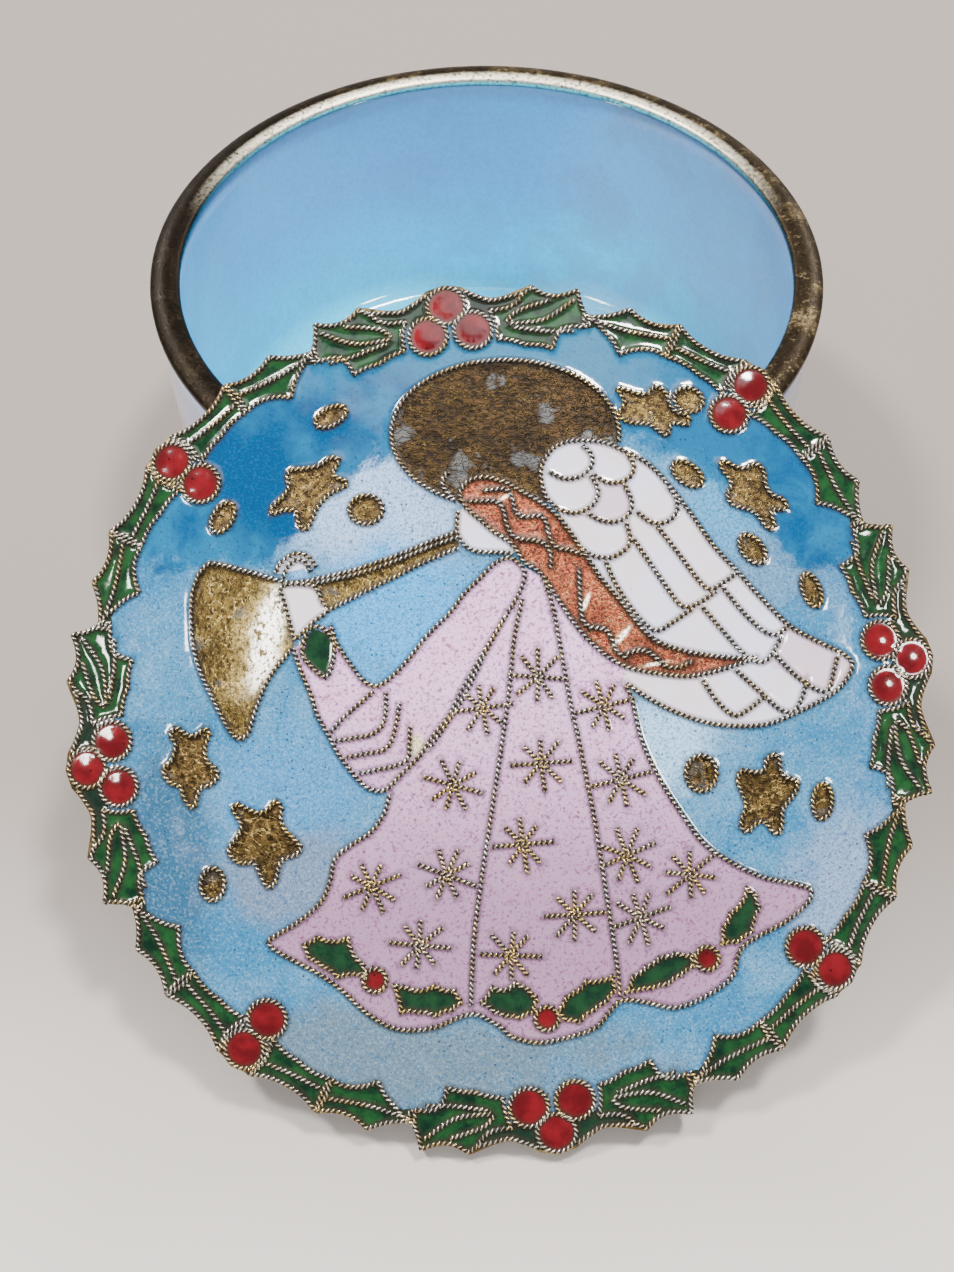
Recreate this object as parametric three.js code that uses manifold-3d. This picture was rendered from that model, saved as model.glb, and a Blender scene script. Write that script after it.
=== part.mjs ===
// A round cloisonne enamel box, open, with its lid leaning on the front of its base.
// The base stands on z = 0 with the middle of its underside at the origin, in millimetres,
// and the lid leans towards -Y with its lowest edge on the same surface.
import * as THREE from 'three';
import { mergeVertices } from 'three/addons/utils/BufferGeometryUtils.js';
import Module from 'manifold-3d';

const wasm = await Module();
wasm.setup();

// Driving dimensions of the base
const BOX_DIA = 70;             // across the flat brass ring at the mouth
const BOX_HEIGHT = 33;          // from the surface to the top of that ring
const WALL = 2.2;               // enamelled copper wall of the cup
const FLOOR = 2.0;              // enamelled copper floor of the cup
const FOOT_ROUND = 3.5;         // outer rounding at the foot of the wall
const INNER_ROUND = 3.0;        // inner rounding between wall and floor
const RING_WIDTH = 3.0;         // flat width of the mouth ring
const RING_THICK = 1.0;         // height of the mouth ring
const RING_CROWN = 0.25;        // fall of the ring's top towards both edges
const RING_PROUD = 0.4;         // how far the ring stands out past the cup's wall

// Driving dimensions of the lid
const LID_DIA = 78.6;           // across the tips of the wreath
const EDGE_THICK = 1.5;         // thickness of the plate at its edge
const DOME_RISE = 3.0;          // rise of the face from the edge to the middle
const PLATE_THICK = 1.8;        // thickness of the enamelled plate over the hollow
const COLLAR_CLEAR = 0.4;       // play between the collar and the mouth ring
const COLLAR_WALL = 1.2;        // wall of the locating collar
const COLLAR_DEPTH = 1.7;       // how far the collar hangs below the plate
const LEAN_ANGLE = 33.7;        // slope of the leaning lid, in degrees
const LEAN_ASIDE = 1.1;         // how far the lid leans to the right of the box's middle
const WREATH_TURN = 7.6;        // turn of the wreath against the uphill line, in degrees

// Driving dimensions of the soldered wires
const WIRE_WIDTH = 0.6;
const WIRE_RISE = 0.4;          // how far a wire stands above the enamel
const WIRE_STEP = 4.4;          // length of one straight facet of a curved wire
const ROOT = 0.4;               // how deep a wire is set into the enamel

// Clearances between pieces
const SOLDER_GAP = 0.3;
const REST_GAP = 0.3;

// Facets round the turned forms
const TURNS = 48;
const FACE_RINGS = 4;

// Sizes that follow
const mouthRadius = BOX_DIA / 2 - RING_WIDTH;
const wallRadius = BOX_DIA / 2 - RING_PROUD;
const cupHeight = BOX_HEIGHT - RING_THICK - SOLDER_GAP;
const lidRadius = LID_DIA / 2;
const collarRadius = mouthRadius - COLLAR_CLEAR;
const hollowRadius = collarRadius - COLLAR_WALL;
const lean = THREE.MathUtils.degToRad(LEAN_ANGLE);

// The lid's face is laid out in a frame where its edge is 437 units from its middle. The picture on
// the dome, which stands nearer to the eye, is drawn a little smaller than the wreath.
const FRAME_RADIUS = 437;
const FRAME_MIDDLE = [500.6, 715.7];
const PICTURE_SHRINK = 0.988;
const edgeUnit = lidRadius / FRAME_RADIUS;
const pictureUnit = edgeUnit * PICTURE_SHRINK;

// Plain helpers
const faceHeight = (radius) => EDGE_THICK + DOME_RISE * (1 - (radius / lidRadius) ** 2);
const hollowHeight = (radius) => faceHeight(radius) - PLATE_THICK;

function inPicture([x, y]) {
  return new THREE.Vector2((x - FRAME_MIDDLE[0]) * pictureUnit, (FRAME_MIDDLE[1] - y) * pictureUnit);
}

function solidOf(geometry) {
  geometry.deleteAttribute('normal');
  geometry.deleteAttribute('uv');
  const merged = mergeVertices(geometry, 1e-4);
  const mesh = new wasm.Mesh({
    numProp: 3,
    vertProperties: new Float32Array(merged.attributes.position.array),
    triVerts: new Uint32Array(merged.index.array),
  });
  return new wasm.Manifold(mesh);
}

function geometryOf(solid) {
  const mesh = solid.getMesh();
  const geometry = new THREE.BufferGeometry();
  geometry.setAttribute('position', new THREE.BufferAttribute(mesh.vertProperties, 3));
  geometry.setIndex(new THREE.BufferAttribute(mesh.triVerts, 1));
  geometry.computeVertexNormals();
  return geometry;
}

const joined = (solids) => solids.reduce((whole, next) => whole.add(next));

// A round stretch of a profile, from angle a to angle b in degrees
function round(x, z, radius, a, b, steps = 3) {
  return Array.from({ length: steps + 1 }, (_, i) => {
    const t = THREE.MathUtils.degToRad(a + ((b - a) * i) / steps);
    return [x + radius * Math.cos(t), z + radius * Math.sin(t)];
  });
}

// A form turned about the Z axis from its profile of [radius, height] points
function turned(profile) {
  const points = profile.map(([radius, height]) => new THREE.Vector2(radius, height));
  const geometry = new THREE.LatheGeometry(points, TURNS);
  geometry.rotateX(Math.PI / 2);
  return geometry;
}

// The closed outline of a strip of the wire's width along a line. At a sharp corner the mitre is kept
// short, as a bent wire's is.
const SHORTEST_MITRE = 0.6;
function stripShape(line, closed) {
  const count = line.length;
  const sides = [[], []];
  line.forEach((point, i) => {
    const before = closed ? line[(i + count - 1) % count] : line[Math.max(i - 1, 0)];
    const after = closed ? line[(i + 1) % count] : line[Math.min(i + 1, count - 1)];
    const into = point.clone().sub(before).normalize();
    const out = after.clone().sub(point).normalize();
    const along = into.clone().add(out).normalize();
    const bend = Math.max(Math.abs(along.dot(out.lengthSq() ? out : into)), SHORTEST_MITRE);
    const side = new THREE.Vector2(-along.y, along.x).multiplyScalar(WIRE_WIDTH / 2 / bend);
    sides[0].push(point.clone().add(side));
    sides[1].push(point.clone().sub(side));
  });
  if (!closed) return new THREE.Shape([...sides[0], ...sides[1].reverse()]);
  const areas = sides.map((side) => Math.abs(THREE.ShapeUtils.area(side)));
  const outer = areas[0] > areas[1] ? 0 : 1;
  const shape = new THREE.Shape(sides[outer]);
  shape.holes.push(new THREE.Path(sides[1 - outer].reverse()));
  return shape;
}

// A flat outline pulled up to follow the dome: low below its face at the bottom, high above it on top
function onDome(shape, bottom, high) {
  const geometry = new THREE.ExtrudeGeometry(shape, { depth: 1, bevelEnabled: false, steps: 1 });
  const position = geometry.attributes.position;
  for (let i = 0; i < position.count; i += 1) {
    const face = faceHeight(Math.hypot(position.getX(i), position.getY(i)));
    position.setZ(i, position.getZ(i) > 0.5 ? face + high : bottom(face));
  }
  return solidOf(geometry);
}

const setInto = (face) => face - ROOT;
const wireSolid = (line, closed = false) => onDome(stripShape(line, closed), setInto, WIRE_RISE);

// A smooth line through hand-placed picture points, cut into facets of about the wire's step
function smooth(points, closed = false) {
  const curve = new THREE.SplineCurve((closed ? [...points, points[0]] : points).map(inPicture));
  const steps = Math.max(1, Math.round(curve.getLength() / WIRE_STEP));
  const line = curve.getSpacedPoints(closed ? Math.max(steps, 6) : steps);
  if (closed) line.pop();
  return line;
}

// An arc of an ellipse in the picture frame, anticlockwise from angle a to angle b in degrees
function ellipseArc(middle, radii, a, b, steps) {
  return Array.from({ length: steps + 1 }, (_, i) => {
    const t = THREE.MathUtils.degToRad(a + ((b - a) * i) / steps);
    return inPicture([middle[0] + radii[0] * Math.cos(t), middle[1] - radii[1] * Math.sin(t)]);
  });
}

// The wreath: leaves and berries in its own polar frame, [degrees from a three-berry group, units out]
const BERRY_RING = 22.5;
const BERRY_SIDES = 8;
const THREE_BERRIES = [[0, 414], [-3.3, 385], [3.5, 386]];
const TWO_BERRIES = [[0, 415], [0, 378]];
const CORE_RADIUS = 397;
const LARGE_LEAF = [
  [6, 412], [11.3, 432], [14.4, 426], [17.9, 434], [19.8, 412], [19.8, 397], [16.2, 390], [15.5, 368],
  [7, 379],
];
const OUTER_LEAF = [[20, 411], [25.4, 431], [29, 424], [32.5, 434], [32.5, 393], [26, 379], [22, 399]];
const INNER_LEAF = [[32.5, 393], [32.5, 434], [37.5, 424], [42.8, 434], [43.5, 412], [42.8, 391]];

function inWreath([degrees, out], octant) {
  const mirrored = octant % 2 === 1;
  const along = mirrored ? (octant + 1) * 45 - degrees : octant * 45 + degrees;
  const angle = THREE.MathUtils.degToRad(90 + WREATH_TURN - along);
  return new THREE.Vector2(Math.cos(angle), Math.sin(angle)).multiplyScalar(out * edgeUnit);
}

const octants = [0, 1, 2, 3, 4, 5, 6, 7];
const inOctants = (points) => octants.map((octant) => points.map((point) => inWreath(point, octant)));

function berryPlaces() {
  const places = [];
  for (let quarter = 0; quarter < 4; quarter += 1) {
    THREE_BERRIES.forEach(([degrees, out]) => places.push(inWreath([degrees, out], quarter * 2)));
    TWO_BERRIES.forEach(([degrees, out]) => places.push(inWreath([degrees + 45, out], quarter * 2)));
  }
  return places;
}

function berryOutline(middle, radius, sides = BERRY_SIDES) {
  return Array.from({ length: sides }, (_, i) => {
    const t = ((i + 0.5) / sides) * 2 * Math.PI;
    return new THREE.Vector2(middle.x + radius * Math.cos(t), middle.y + radius * Math.sin(t));
  });
}

// The plate: a shallow dome with a hollow underside and a wreath-shaped edge
function plateSolid() {
  const coreRadius = CORE_RADIUS * edgeUnit;
  const rings = Array.from({ length: FACE_RINGS }, (_, i) => (coreRadius * (FACE_RINGS - i)) / FACE_RINGS);
  const core = solidOf(turned([
    [0, hollowHeight(0)],
    [hollowRadius / 2, hollowHeight(hollowRadius / 2)],
    [hollowRadius, hollowHeight(hollowRadius)],
    [hollowRadius, 0],
    [coreRadius, 0],
    ...rings.map((radius) => [radius, faceHeight(radius)]),
    [0, faceHeight(0)],
  ]));
  const toBottom = () => 0;
  const leaves = [LARGE_LEAF, OUTER_LEAF, INNER_LEAF].flatMap(inOctants);
  const leafSolids = leaves.map((line) => onDome(new THREE.Shape(line), toBottom, WIRE_RISE));
  const berries = berryPlaces().map((middle) => {
    return onDome(new THREE.Shape(berryOutline(middle, BERRY_RING * edgeUnit)), toBottom, WIRE_RISE);
  });
  return joined([core, ...leafSolids, ...berries]);
}

// The picture: an angel with a trumpet, in wires. Points are [x, y] in the picture frame.
const HALO = { middle: [505, 434], radii: [114, 74], from: -6, to: 245 };
const WING = [
  [557, 509], [545, 497], [541, 480], [545, 462], [560, 446], [582, 441], [606, 443], [648, 464], [692, 515],
  [738, 573], [787, 624], [843, 653], [852, 666], [843, 683], [800, 711], [735, 726], [670, 710], [627, 684],
];
const WING_SCALES = [
  [[549, 472], [572, 479], [592, 462], [583, 445]],
  [[592, 474], [614, 484], [633, 468], [627, 454]],
  [[558, 509], [578, 513], [598, 492], [590, 476]],
  [[587, 513], [612, 522], [632, 503], [624, 483]],
  [[637, 512], [664, 522], [677, 504], [668, 487]],
  [[581, 548], [608, 558], [630, 540], [626, 522]],
];
const FEATHERS = [
  [[605, 561], [630, 607], [656, 631], [692, 609], [738, 573]],
  [[633, 540], [672, 596], [688, 606]],
  [[657, 526], [700, 583], [713, 589]],
  [[722, 587], [760, 630], [779, 633], [787, 624]],
  [[702, 607], [742, 653], [762, 661], [781, 636]],
  [[774, 654], [816, 690], [830, 686], [837, 655]],
  [[735, 669], [778, 709], [793, 711], [807, 680]],
  [[703, 680], [731, 715], [766, 695]],
];
const HAIR = [
  [459, 500], [466, 483], [486, 478], [520, 491], [556, 514], [580, 547], [605, 585], [648, 635], [703, 654],
  [757, 658], [688, 676], [622, 665], [575, 624], [543, 579], [518, 552], [481, 520],
];
const FACE = [[458, 510], [459, 538], [477, 552], [516, 553]];
const TRUMPET = [
  [457, 533], [393, 557], [322, 578], [284, 583], [241, 570], [206, 565], [193, 595], [193, 645], [211, 695],
  [237, 738], [249, 730], [270, 677], [292, 648],
];
const TRUMPET_TUBE = [[327, 611], [384, 583], [458, 549]];
const HAND = [[283, 586], [293, 634], [313, 623], [327, 611], [313, 586]];
const THUMB = [[275, 574], [281, 562], [296, 554], [316, 568]];
const CUFF = [[311, 627], [332, 635], [327, 677], [302, 652]];
const SLEEVE = [
  [293, 648], [311, 695], [329, 736], [357, 779], [379, 791], [402, 774], [434, 734], [480, 659],
];
const ARM_INSIDE = [
  [331, 625], [352, 666], [375, 686], [404, 665], [450, 613], [495, 563], [512, 558], [524, 577], [506, 615],
];
const FOLDS = [
  [[374, 691], [331, 732]],
  [[386, 693], [382, 725], [334, 741]],
  [[399, 704], [391, 741], [347, 757]],
  [[410, 726], [407, 759], [359, 773]],
];
const ROBE_LEFT = [[390, 790], [353, 844], [321, 902], [270, 941]];
const ROBE_HEM = [
  [270, 941], [342, 990], [412, 1030], [477, 1014], [538, 1042], [597, 1026], [620, 1001], [676, 1007],
  [732, 976], [749, 941], [809, 900],
];
const ROBE_RIGHT = [[626, 684], [658, 776], [705, 844], [764, 877], [811, 890]];
const PANELS = [
  [[506, 615], [494, 797], [474, 941], [471, 1012]],
  [[545, 581], [570, 700], [606, 891], [620, 1000]],
  [[506, 615], [462, 700], [430, 748]],
];
const HEM_LEAVES = [
  [[295, 962], [320, 942], [350, 950], [362, 975], [330, 968]],
  [[388, 985], [420, 982], [450, 1000], [425, 1018]],
  [[476, 1000], [500, 985], [530, 998], [505, 1018]],
  [[560, 1010], [580, 990], [612, 972], [602, 1005]],
  [[628, 990], [650, 962], [690, 955], [668, 985]],
  [[724, 942], [740, 905], [752, 895], [756, 925]],
];
const STARS = [
  [309, 491, 44], [192, 766, 36], [267, 844, 43], [651, 411, 50], [752, 495, 47], [767, 791, 63],
];
const STAR_OUT = 31;
const STAR_IN = 15;
const DOTS = [
  [331, 416], [224, 517], [367, 510], [213, 886], [690, 399], [687, 473], [752, 548], [811, 590], [701, 772],
  [823, 801],
];
const DOT_RADIUS = 16;
const DOT_SIDES = 6;

function starOutline(middle, outer, inner, turn) {
  return Array.from({ length: 10 }, (_, i) => {
    const t = THREE.MathUtils.degToRad(90 + turn + i * 36);
    const radius = i % 2 ? inner : outer;
    return new THREE.Vector2(middle.x + radius * Math.cos(t), middle.y + radius * Math.sin(t));
  });
}

function pictureWires() {
  const open = [
    WING, ...WING_SCALES, ...FEATHERS, FACE, TRUMPET, TRUMPET_TUBE, THUMB, SLEEVE, ARM_INSIDE, ...FOLDS,
    ROBE_LEFT, ROBE_HEM, ROBE_RIGHT, ...PANELS,
  ];
  const loops = [HAIR, HAND];
  const raised = [CUFF, ...HEM_LEAVES].map((points) => points.map(inPicture));
  const halo = ellipseArc(HALO.middle, HALO.radii, HALO.from, HALO.to, 12);
  const stars = STARS.map(([x, y, turn]) => {
    return starOutline(inPicture([x, y]), STAR_OUT * pictureUnit, STAR_IN * pictureUnit, turn);
  });
  const dots = DOTS.map((place) => berryOutline(inPicture(place), DOT_RADIUS * pictureUnit, DOT_SIDES));
  return [
    ...open.map((points) => wireSolid(smooth(points))),
    ...loops.map((points) => wireSolid(smooth(points, true), true)),
    wireSolid(halo),
    ...stars.map((line) => wireSolid(line, true)),
    ...[...raised, ...dots].map((line) => onDome(new THREE.Shape(line), setInto, WIRE_RISE)),
  ];
}

// The cup, with a band of stars standing a little out of its wall
const WALL_STARS = 8;
const WALL_STAR_OUT = 2.8;
const WALL_STAR_IN = 1.35;
const WALL_STAR_RISE = 0.3;

// A flat outline bent round the wall at an angle
function onWall(shape, middle) {
  const geometry = new THREE.ExtrudeGeometry(shape, { depth: 1, bevelEnabled: false, steps: 1 });
  const position = geometry.attributes.position;
  for (let i = 0; i < position.count; i += 1) {
    const angle = middle + position.getX(i) / wallRadius;
    const radius = wallRadius + (position.getZ(i) > 0.5 ? WALL_STAR_RISE : -ROOT);
    position.setXYZ(i, radius * Math.cos(angle), radius * Math.sin(angle), position.getY(i));
  }
  return solidOf(geometry);
}

function cupSolid() {
  const inner = wallRadius - WALL;
  const body = solidOf(turned([
    [0, 0],
    ...round(wallRadius - FOOT_ROUND, FOOT_ROUND, FOOT_ROUND, -90, 0),
    [wallRadius, cupHeight],
    [inner, cupHeight],
    ...round(inner - INNER_ROUND, FLOOR + INNER_ROUND, INNER_ROUND, 0, -90),
    [0, FLOOR],
  ]));
  const outline = starOutline(new THREE.Vector2(0, BOX_HEIGHT / 2), WALL_STAR_OUT, WALL_STAR_IN, 0);
  const stars = Array.from({ length: WALL_STARS }, (_, i) => {
    return onWall(new THREE.Shape(outline), ((i + 0.5) / WALL_STARS) * 2 * Math.PI);
  });
  return joined([body, ...stars]);
}

// The flat ring on the cup's mouth, its top crowned a little
function mouthRing() {
  const outer = BOX_DIA / 2;
  const bottom = BOX_HEIGHT - RING_THICK;
  return turned([
    [mouthRadius, bottom],
    [outer, bottom],
    [outer, BOX_HEIGHT - RING_CROWN],
    [outer - RING_WIDTH / 3, BOX_HEIGHT],
    [mouthRadius + RING_WIDTH / 3, BOX_HEIGHT],
    [mouthRadius, BOX_HEIGHT - RING_CROWN],
    [mouthRadius, bottom],
  ]);
}

// The collar that drops into the mouth when the box is closed
function collarRing() {
  const top = -SOLDER_GAP;
  const bottom = -SOLDER_GAP - COLLAR_DEPTH;
  return turned([
    [hollowRadius, bottom],
    [collarRadius, bottom],
    [collarRadius, top],
    [hollowRadius, top],
    [hollowRadius, bottom],
  ]);
}

// Where along the lid's slope the hollow's roof passes the top of the box, found in a few rounds
const CROSSING_ROUNDS = 8;

function roofCrossing(height) {
  let crossing = 0;
  for (let i = 0; i < CROSSING_ROUNDS; i += 1) {
    crossing = (BOX_HEIGHT - height - hollowHeight(crossing) * Math.cos(lean)) / Math.sin(lean);
  }
  return crossing;
}

// How far the lid's middle stands in front of the box when it leans at a given height: it meets
// the mouth ring either under its plate or at two places on its collar, whichever stops it first
function leanReach(height) {
  const uphill = Math.sin(lean);
  const level = Math.cos(lean);
  const ringReach = BOX_DIA / 2 + REST_GAP;
  const drop = COLLAR_DEPTH + SOLDER_GAP;
  const collarCrossing = (BOX_HEIGHT - height + drop * level) / uphill;
  const halfChord = Math.sqrt(Math.max(collarRadius ** 2 - collarCrossing ** 2, 0));
  const ringFront = Math.sqrt(ringReach ** 2 - (halfChord - LEAN_ASIDE) ** 2);
  const forCollar = -ringFront - collarCrossing * level - drop * uphill;
  const crossing = roofCrossing(height);
  const forPlate = -ringReach - crossing * level + hollowHeight(crossing) * uphill;
  return Math.min(forCollar, forPlate);
}

// Materials
const brass = new THREE.MeshStandardMaterial({ color: 0x6b5230, metalness: 1, roughness: 0.35 });
const gilt = new THREE.MeshStandardMaterial({ color: 0xb08d4a, metalness: 1, roughness: 0.3 });
const paleBlue = new THREE.MeshStandardMaterial({ color: 0x9dbbd8, metalness: 0, roughness: 0.15 });
const pictureEnamel = new THREE.MeshStandardMaterial({ color: 0x6aa6d6, metalness: 0, roughness: 0.15 });

function piece(name, geometry, material) {
  const mesh = new THREE.Mesh(geometry, material);
  mesh.name = name;
  return mesh;
}

const lid = new THREE.Group();
lid.add(piece('lid_plate', geometryOf(joined([plateSolid(), ...pictureWires()])), pictureEnamel));
lid.add(piece('lid_collar', collarRing(), gilt));
lid.rotation.x = lean;
lid.position.x = LEAN_ASIDE;
lid.position.z = -new THREE.Box3().setFromObject(lid, true).min.z;
lid.position.y = leanReach(lid.position.z);

const box = new THREE.Group();
box.add(piece('base_cup', geometryOf(cupSolid()), paleBlue));
box.add(piece('mouth_ring', mouthRing(), brass));
box.add(lid);

export default box;
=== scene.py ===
import math
import random

import bpy
import numpy as np
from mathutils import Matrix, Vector, kdtree, noise
from mathutils.geometry import delaunay_2d_cdt


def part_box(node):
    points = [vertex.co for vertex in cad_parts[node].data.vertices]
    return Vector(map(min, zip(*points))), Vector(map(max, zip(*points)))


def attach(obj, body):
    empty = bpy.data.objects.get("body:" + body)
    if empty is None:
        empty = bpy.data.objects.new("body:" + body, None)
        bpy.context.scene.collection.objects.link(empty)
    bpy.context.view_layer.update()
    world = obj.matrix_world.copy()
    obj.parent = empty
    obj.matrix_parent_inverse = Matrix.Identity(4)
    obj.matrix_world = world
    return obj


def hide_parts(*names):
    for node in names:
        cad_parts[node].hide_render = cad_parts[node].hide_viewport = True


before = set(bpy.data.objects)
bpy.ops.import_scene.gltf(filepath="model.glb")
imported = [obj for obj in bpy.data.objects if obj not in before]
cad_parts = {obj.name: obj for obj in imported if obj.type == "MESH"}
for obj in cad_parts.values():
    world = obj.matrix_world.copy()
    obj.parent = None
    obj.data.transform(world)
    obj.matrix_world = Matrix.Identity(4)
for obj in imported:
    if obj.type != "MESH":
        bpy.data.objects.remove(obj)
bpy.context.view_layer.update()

# A round cloisonne enamel box, open, with its lid leaning on the front of its base.
# Lengths are in millimetres until a mesh is made. The lid is modelled lying flat in its own frame,
# across and uphill of its middle, and its pieces carry the lean in their placement.

random.seed(7)
MM = 0.001

# The view: a camera looking down on the box, in pixels of the 954 by 1272 frame
VIEW_WIDE = 954
VIEW_HIGH = 1272
FOCAL = 1500.0
EYE = np.array([-1.0, -125.9, 134.8])
EYE_DOWN = math.radians(53.25)
LOOK = np.array([0, math.cos(EYE_DOWN), -math.sin(EYE_DOWN)])
ABOVE = np.array([0, math.sin(EYE_DOWN), math.cos(EYE_DOWN)])
SEEN_ROUNDS = 8

# The lid, as the solids have it
LEAN = math.radians(33.7)
LID_RADIUS = 39.3
EDGE_THICK = 1.5
DOME_RISE = 3.0
PLATE_THICK = 1.8
COLLAR_CLEAR = 0.4
COLLAR_WALL = 1.2
COLLAR_DEPTH = 1.7
SOLDER_GAP = 0.3
UPHILL = np.array([0, math.cos(LEAN), math.sin(LEAN)])
NORMAL = np.array([0, -math.sin(LEAN), math.cos(LEAN)])

# The base, as the solids have it
RING_WIDTH = 3.0
RING_THICK = 1.0
WALL = 2.2
FLOOR = 2.0
FOOT_ROUND = 3.5
INNER_ROUND = 3.0

# The wires: two strands twisted together
WIRE_STEP = 0.12
WIRE_TURN = 0.97
WIRE_SIDES = 8
STRAND_OUT = 0.180
STRAND_LOBE = 0.088
WIRE_SEAT = 0.11
# Painted shade darkens each wire down its sides: it begins below DARK_BELOW on the wire's round, from -1 at
# its foot to 1 at its top, and is full DARK_FADE lower.
DARK_BELOW = 0.5
DARK_FADE = 0.5


def middle_of(node):
    low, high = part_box(node)
    return np.array((low + high) / 2) / MM


ring_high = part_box("mouth_ring")[1]
BOX_HEIGHT = ring_high.z / MM
ring_radius = ring_high.x / MM
mouth_radius = ring_radius - RING_WIDTH
wall_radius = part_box("base_cup")[1].x / MM
collar_radius = mouth_radius - COLLAR_CLEAR
hollow_radius = collar_radius - COLLAR_WALL
lid_middle = middle_of("lid_collar") + (SOLDER_GAP + COLLAR_DEPTH / 2) * NORMAL


def face_height(radius):
    return EDGE_THICK + DOME_RISE * (1 - (np.asarray(radius) / LID_RADIUS) ** 2)


def seen(points):
    """Places on the lid's face, across and uphill of its middle, of points of the view."""
    x, y = np.asarray(points, float).reshape(-1, 2).T
    across = np.outer((x - VIEW_WIDE / 2) / FOCAL, [1, 0, 0])
    upward = np.outer((VIEW_HIGH / 2 - y) / FOCAL, ABOVE)
    ray = LOOK + across + upward
    height = np.full(len(x), EDGE_THICK + DOME_RISE)
    for _ in range(SEEN_ROUNDS):
        reach = ((lid_middle - EYE) @ NORMAL + height) / (ray @ NORMAL)
        spot = EYE + ray * reach[:, None] - lid_middle
        flat = np.stack([spot[:, 0], spot @ UPHILL], 1)
        height = face_height(np.hypot(flat[:, 0], flat[:, 1]))
    return flat


# Lines

CURVE_PARTS = 10
BOW_PARTS = 12
CORNER_ROUNDS = 3


def even(line, step=WIRE_STEP, closed=False):
    """The line with points an even step apart."""
    line = np.asarray(line, float)
    if closed:
        line = np.vstack([line, line[:1]])
    gone = np.concatenate([[0], np.cumsum(np.hypot(*np.diff(line, axis=0).T))])
    count = max(3, round(gone[-1] / step))
    spots = np.linspace(0, gone[-1], count + 1)
    flat = np.stack([np.interp(spots, gone, line[:, i]) for i in range(2)], 1)
    return flat[:-1] if closed else flat


def curve(points, closed=False):
    """A smooth line through the points."""
    pts = np.asarray(points, float)
    if closed:
        full = np.vstack([pts[-1], pts, pts[0], pts[1]])
    else:
        full = np.vstack([2 * pts[0] - pts[1], pts, 2 * pts[-1] - pts[-2]])
    t = np.linspace(0, 1, CURVE_PARTS, endpoint=False)[:, None]
    out = []
    for a, b, c, d in zip(full, full[1:], full[2:], full[3:]):
        square = 2 * a - 5 * b + 4 * c - d
        cube = 3 * b - a - 3 * c + d
        out.append(0.5 * (2 * b + (c - a) * t + square * t**2 + cube * t**3))
    line = np.vstack(out)
    if not closed:
        line = np.vstack([line, pts[-1]])
    return even(line, closed=closed)


def area_of(line):
    x, y = np.asarray(line).T
    return 0.5 * float(np.sum(x * np.roll(y, -1) - y * np.roll(x, -1)))


def bowed(corners, sag):
    """A closed line through corners whose sides bow inwards by a share of their length.

    Its sharp corners are rounded a little, as a bent wire's are.
    """
    pts = np.asarray(corners, float)
    inward = 1 if area_of(pts) > 0 else -1
    t = np.linspace(0, 1, BOW_PARTS, endpoint=False)[:, None]
    out = []
    for a, b in zip(pts, np.roll(pts, -1, 0)):
        side = np.array([a[1] - b[1], b[0] - a[0]]) * inward
        out.append(a + (b - a) * t + side * sag * 4 * t * (1 - t))
    line = even(np.vstack(out), closed=True)
    for _ in range(CORNER_ROUNDS):
        line = (np.roll(line, 1, 0) + 2 * line + np.roll(line, -1, 0)) / 4
    return line


def circle(middle, radius):
    count = max(8, round(2 * math.pi * radius / WIRE_STEP))
    turn = np.linspace(0, 2 * math.pi, count, endpoint=False)
    return np.stack([middle[0] + radius * np.cos(turn), middle[1] + radius * np.sin(turn)], 1)


def inside(points, polygon):
    """Which of the points lie inside the polygon."""
    x, y = points.T
    found = np.zeros(len(points), bool)
    poly = np.asarray(polygon)
    near = (x > poly[:, 0].min()) & (x < poly[:, 0].max()) & (y > poly[:, 1].min()) & (y < poly[:, 1].max())
    x, y = x[near], y[near]
    hit = np.zeros(len(x), bool)
    for (ax, ay), (bx, by) in zip(poly, np.roll(poly, -1, 0)):
        if ay == by:
            continue
        cross = (ay > y) != (by > y)
        hit ^= cross & (x < (bx - ax) * (y - ay) / (by - ay) + ax)
    found[near] = hit
    return found


# The wreath, in its own polar frame: degrees clockwise from a three-berry group, and units from the middle

WREATH_UNIT = LID_RADIUS / 437
WREATH_START = 97.6
OCTANT = 45
OCTANTS = range(8)
BERRY_WIRE = 19.3
THREE_BERRIES = [(0, 414), (-3.3, 385), (3.5, 386)]
TWO_BERRIES = [(45, 415), (45, 377.5)]
LARGE_LEAF = [
    (6, 406), (9.4, 411), (10.6, 424), (11.8, 432), (14.6, 424), (18, 435), (19.6, 412), (19.9, 397),
    (16.6, 391), (15.8, 369), (11.5, 370), (7.2, 375),
]
LARGE_VEINS = [
    [(8.5, 393), (10, 405), (14.5, 420)],
    [(8.8, 391), (14, 399), (17.8, 424)],
    [(9.5, 388), (14.5, 386.5), (18.5, 391)],
]
OUTER_LEAF = [
    (20.2, 409), (25.4, 428), (29, 421), (32.5, 431), (32.5, 395), (29.5, 394), (26, 379), (22.5, 399),
]
OUTER_VEIN = [(21.5, 406), (26, 405), (32, 414)]
INNER_LEAF = [(32.5, 395), (32.5, 431), (37.5, 421), (42.6, 433), (41.8, 414), (42.8, 389), (38, 394)]
INNER_VEIN = [(33.2, 408), (38, 409), (41.6, 414)]
STEM_WIRES = [
    [(19.6, 412), (20.6, 405), (20.2, 397)],
    [(2.4, 428), (4.4, 421), (6.3, 416), (8.2, 419), (10.6, 424)],
    [(42.8, 430), (41.9, 416), (42.1, 404), (43.2, 396)],
]
STEM_CELLS = [
    [
        (-2.4, 430), (0, 434), (2.4, 429), (4.4, 421), (6.3, 416), (8.2, 419), (11.8, 432), (12, 390),
        (-5, 390),
    ],
    [(42.3, 432), (43.4, 429), (45, 435), (45, 390), (42.3, 390)],
]


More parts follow.
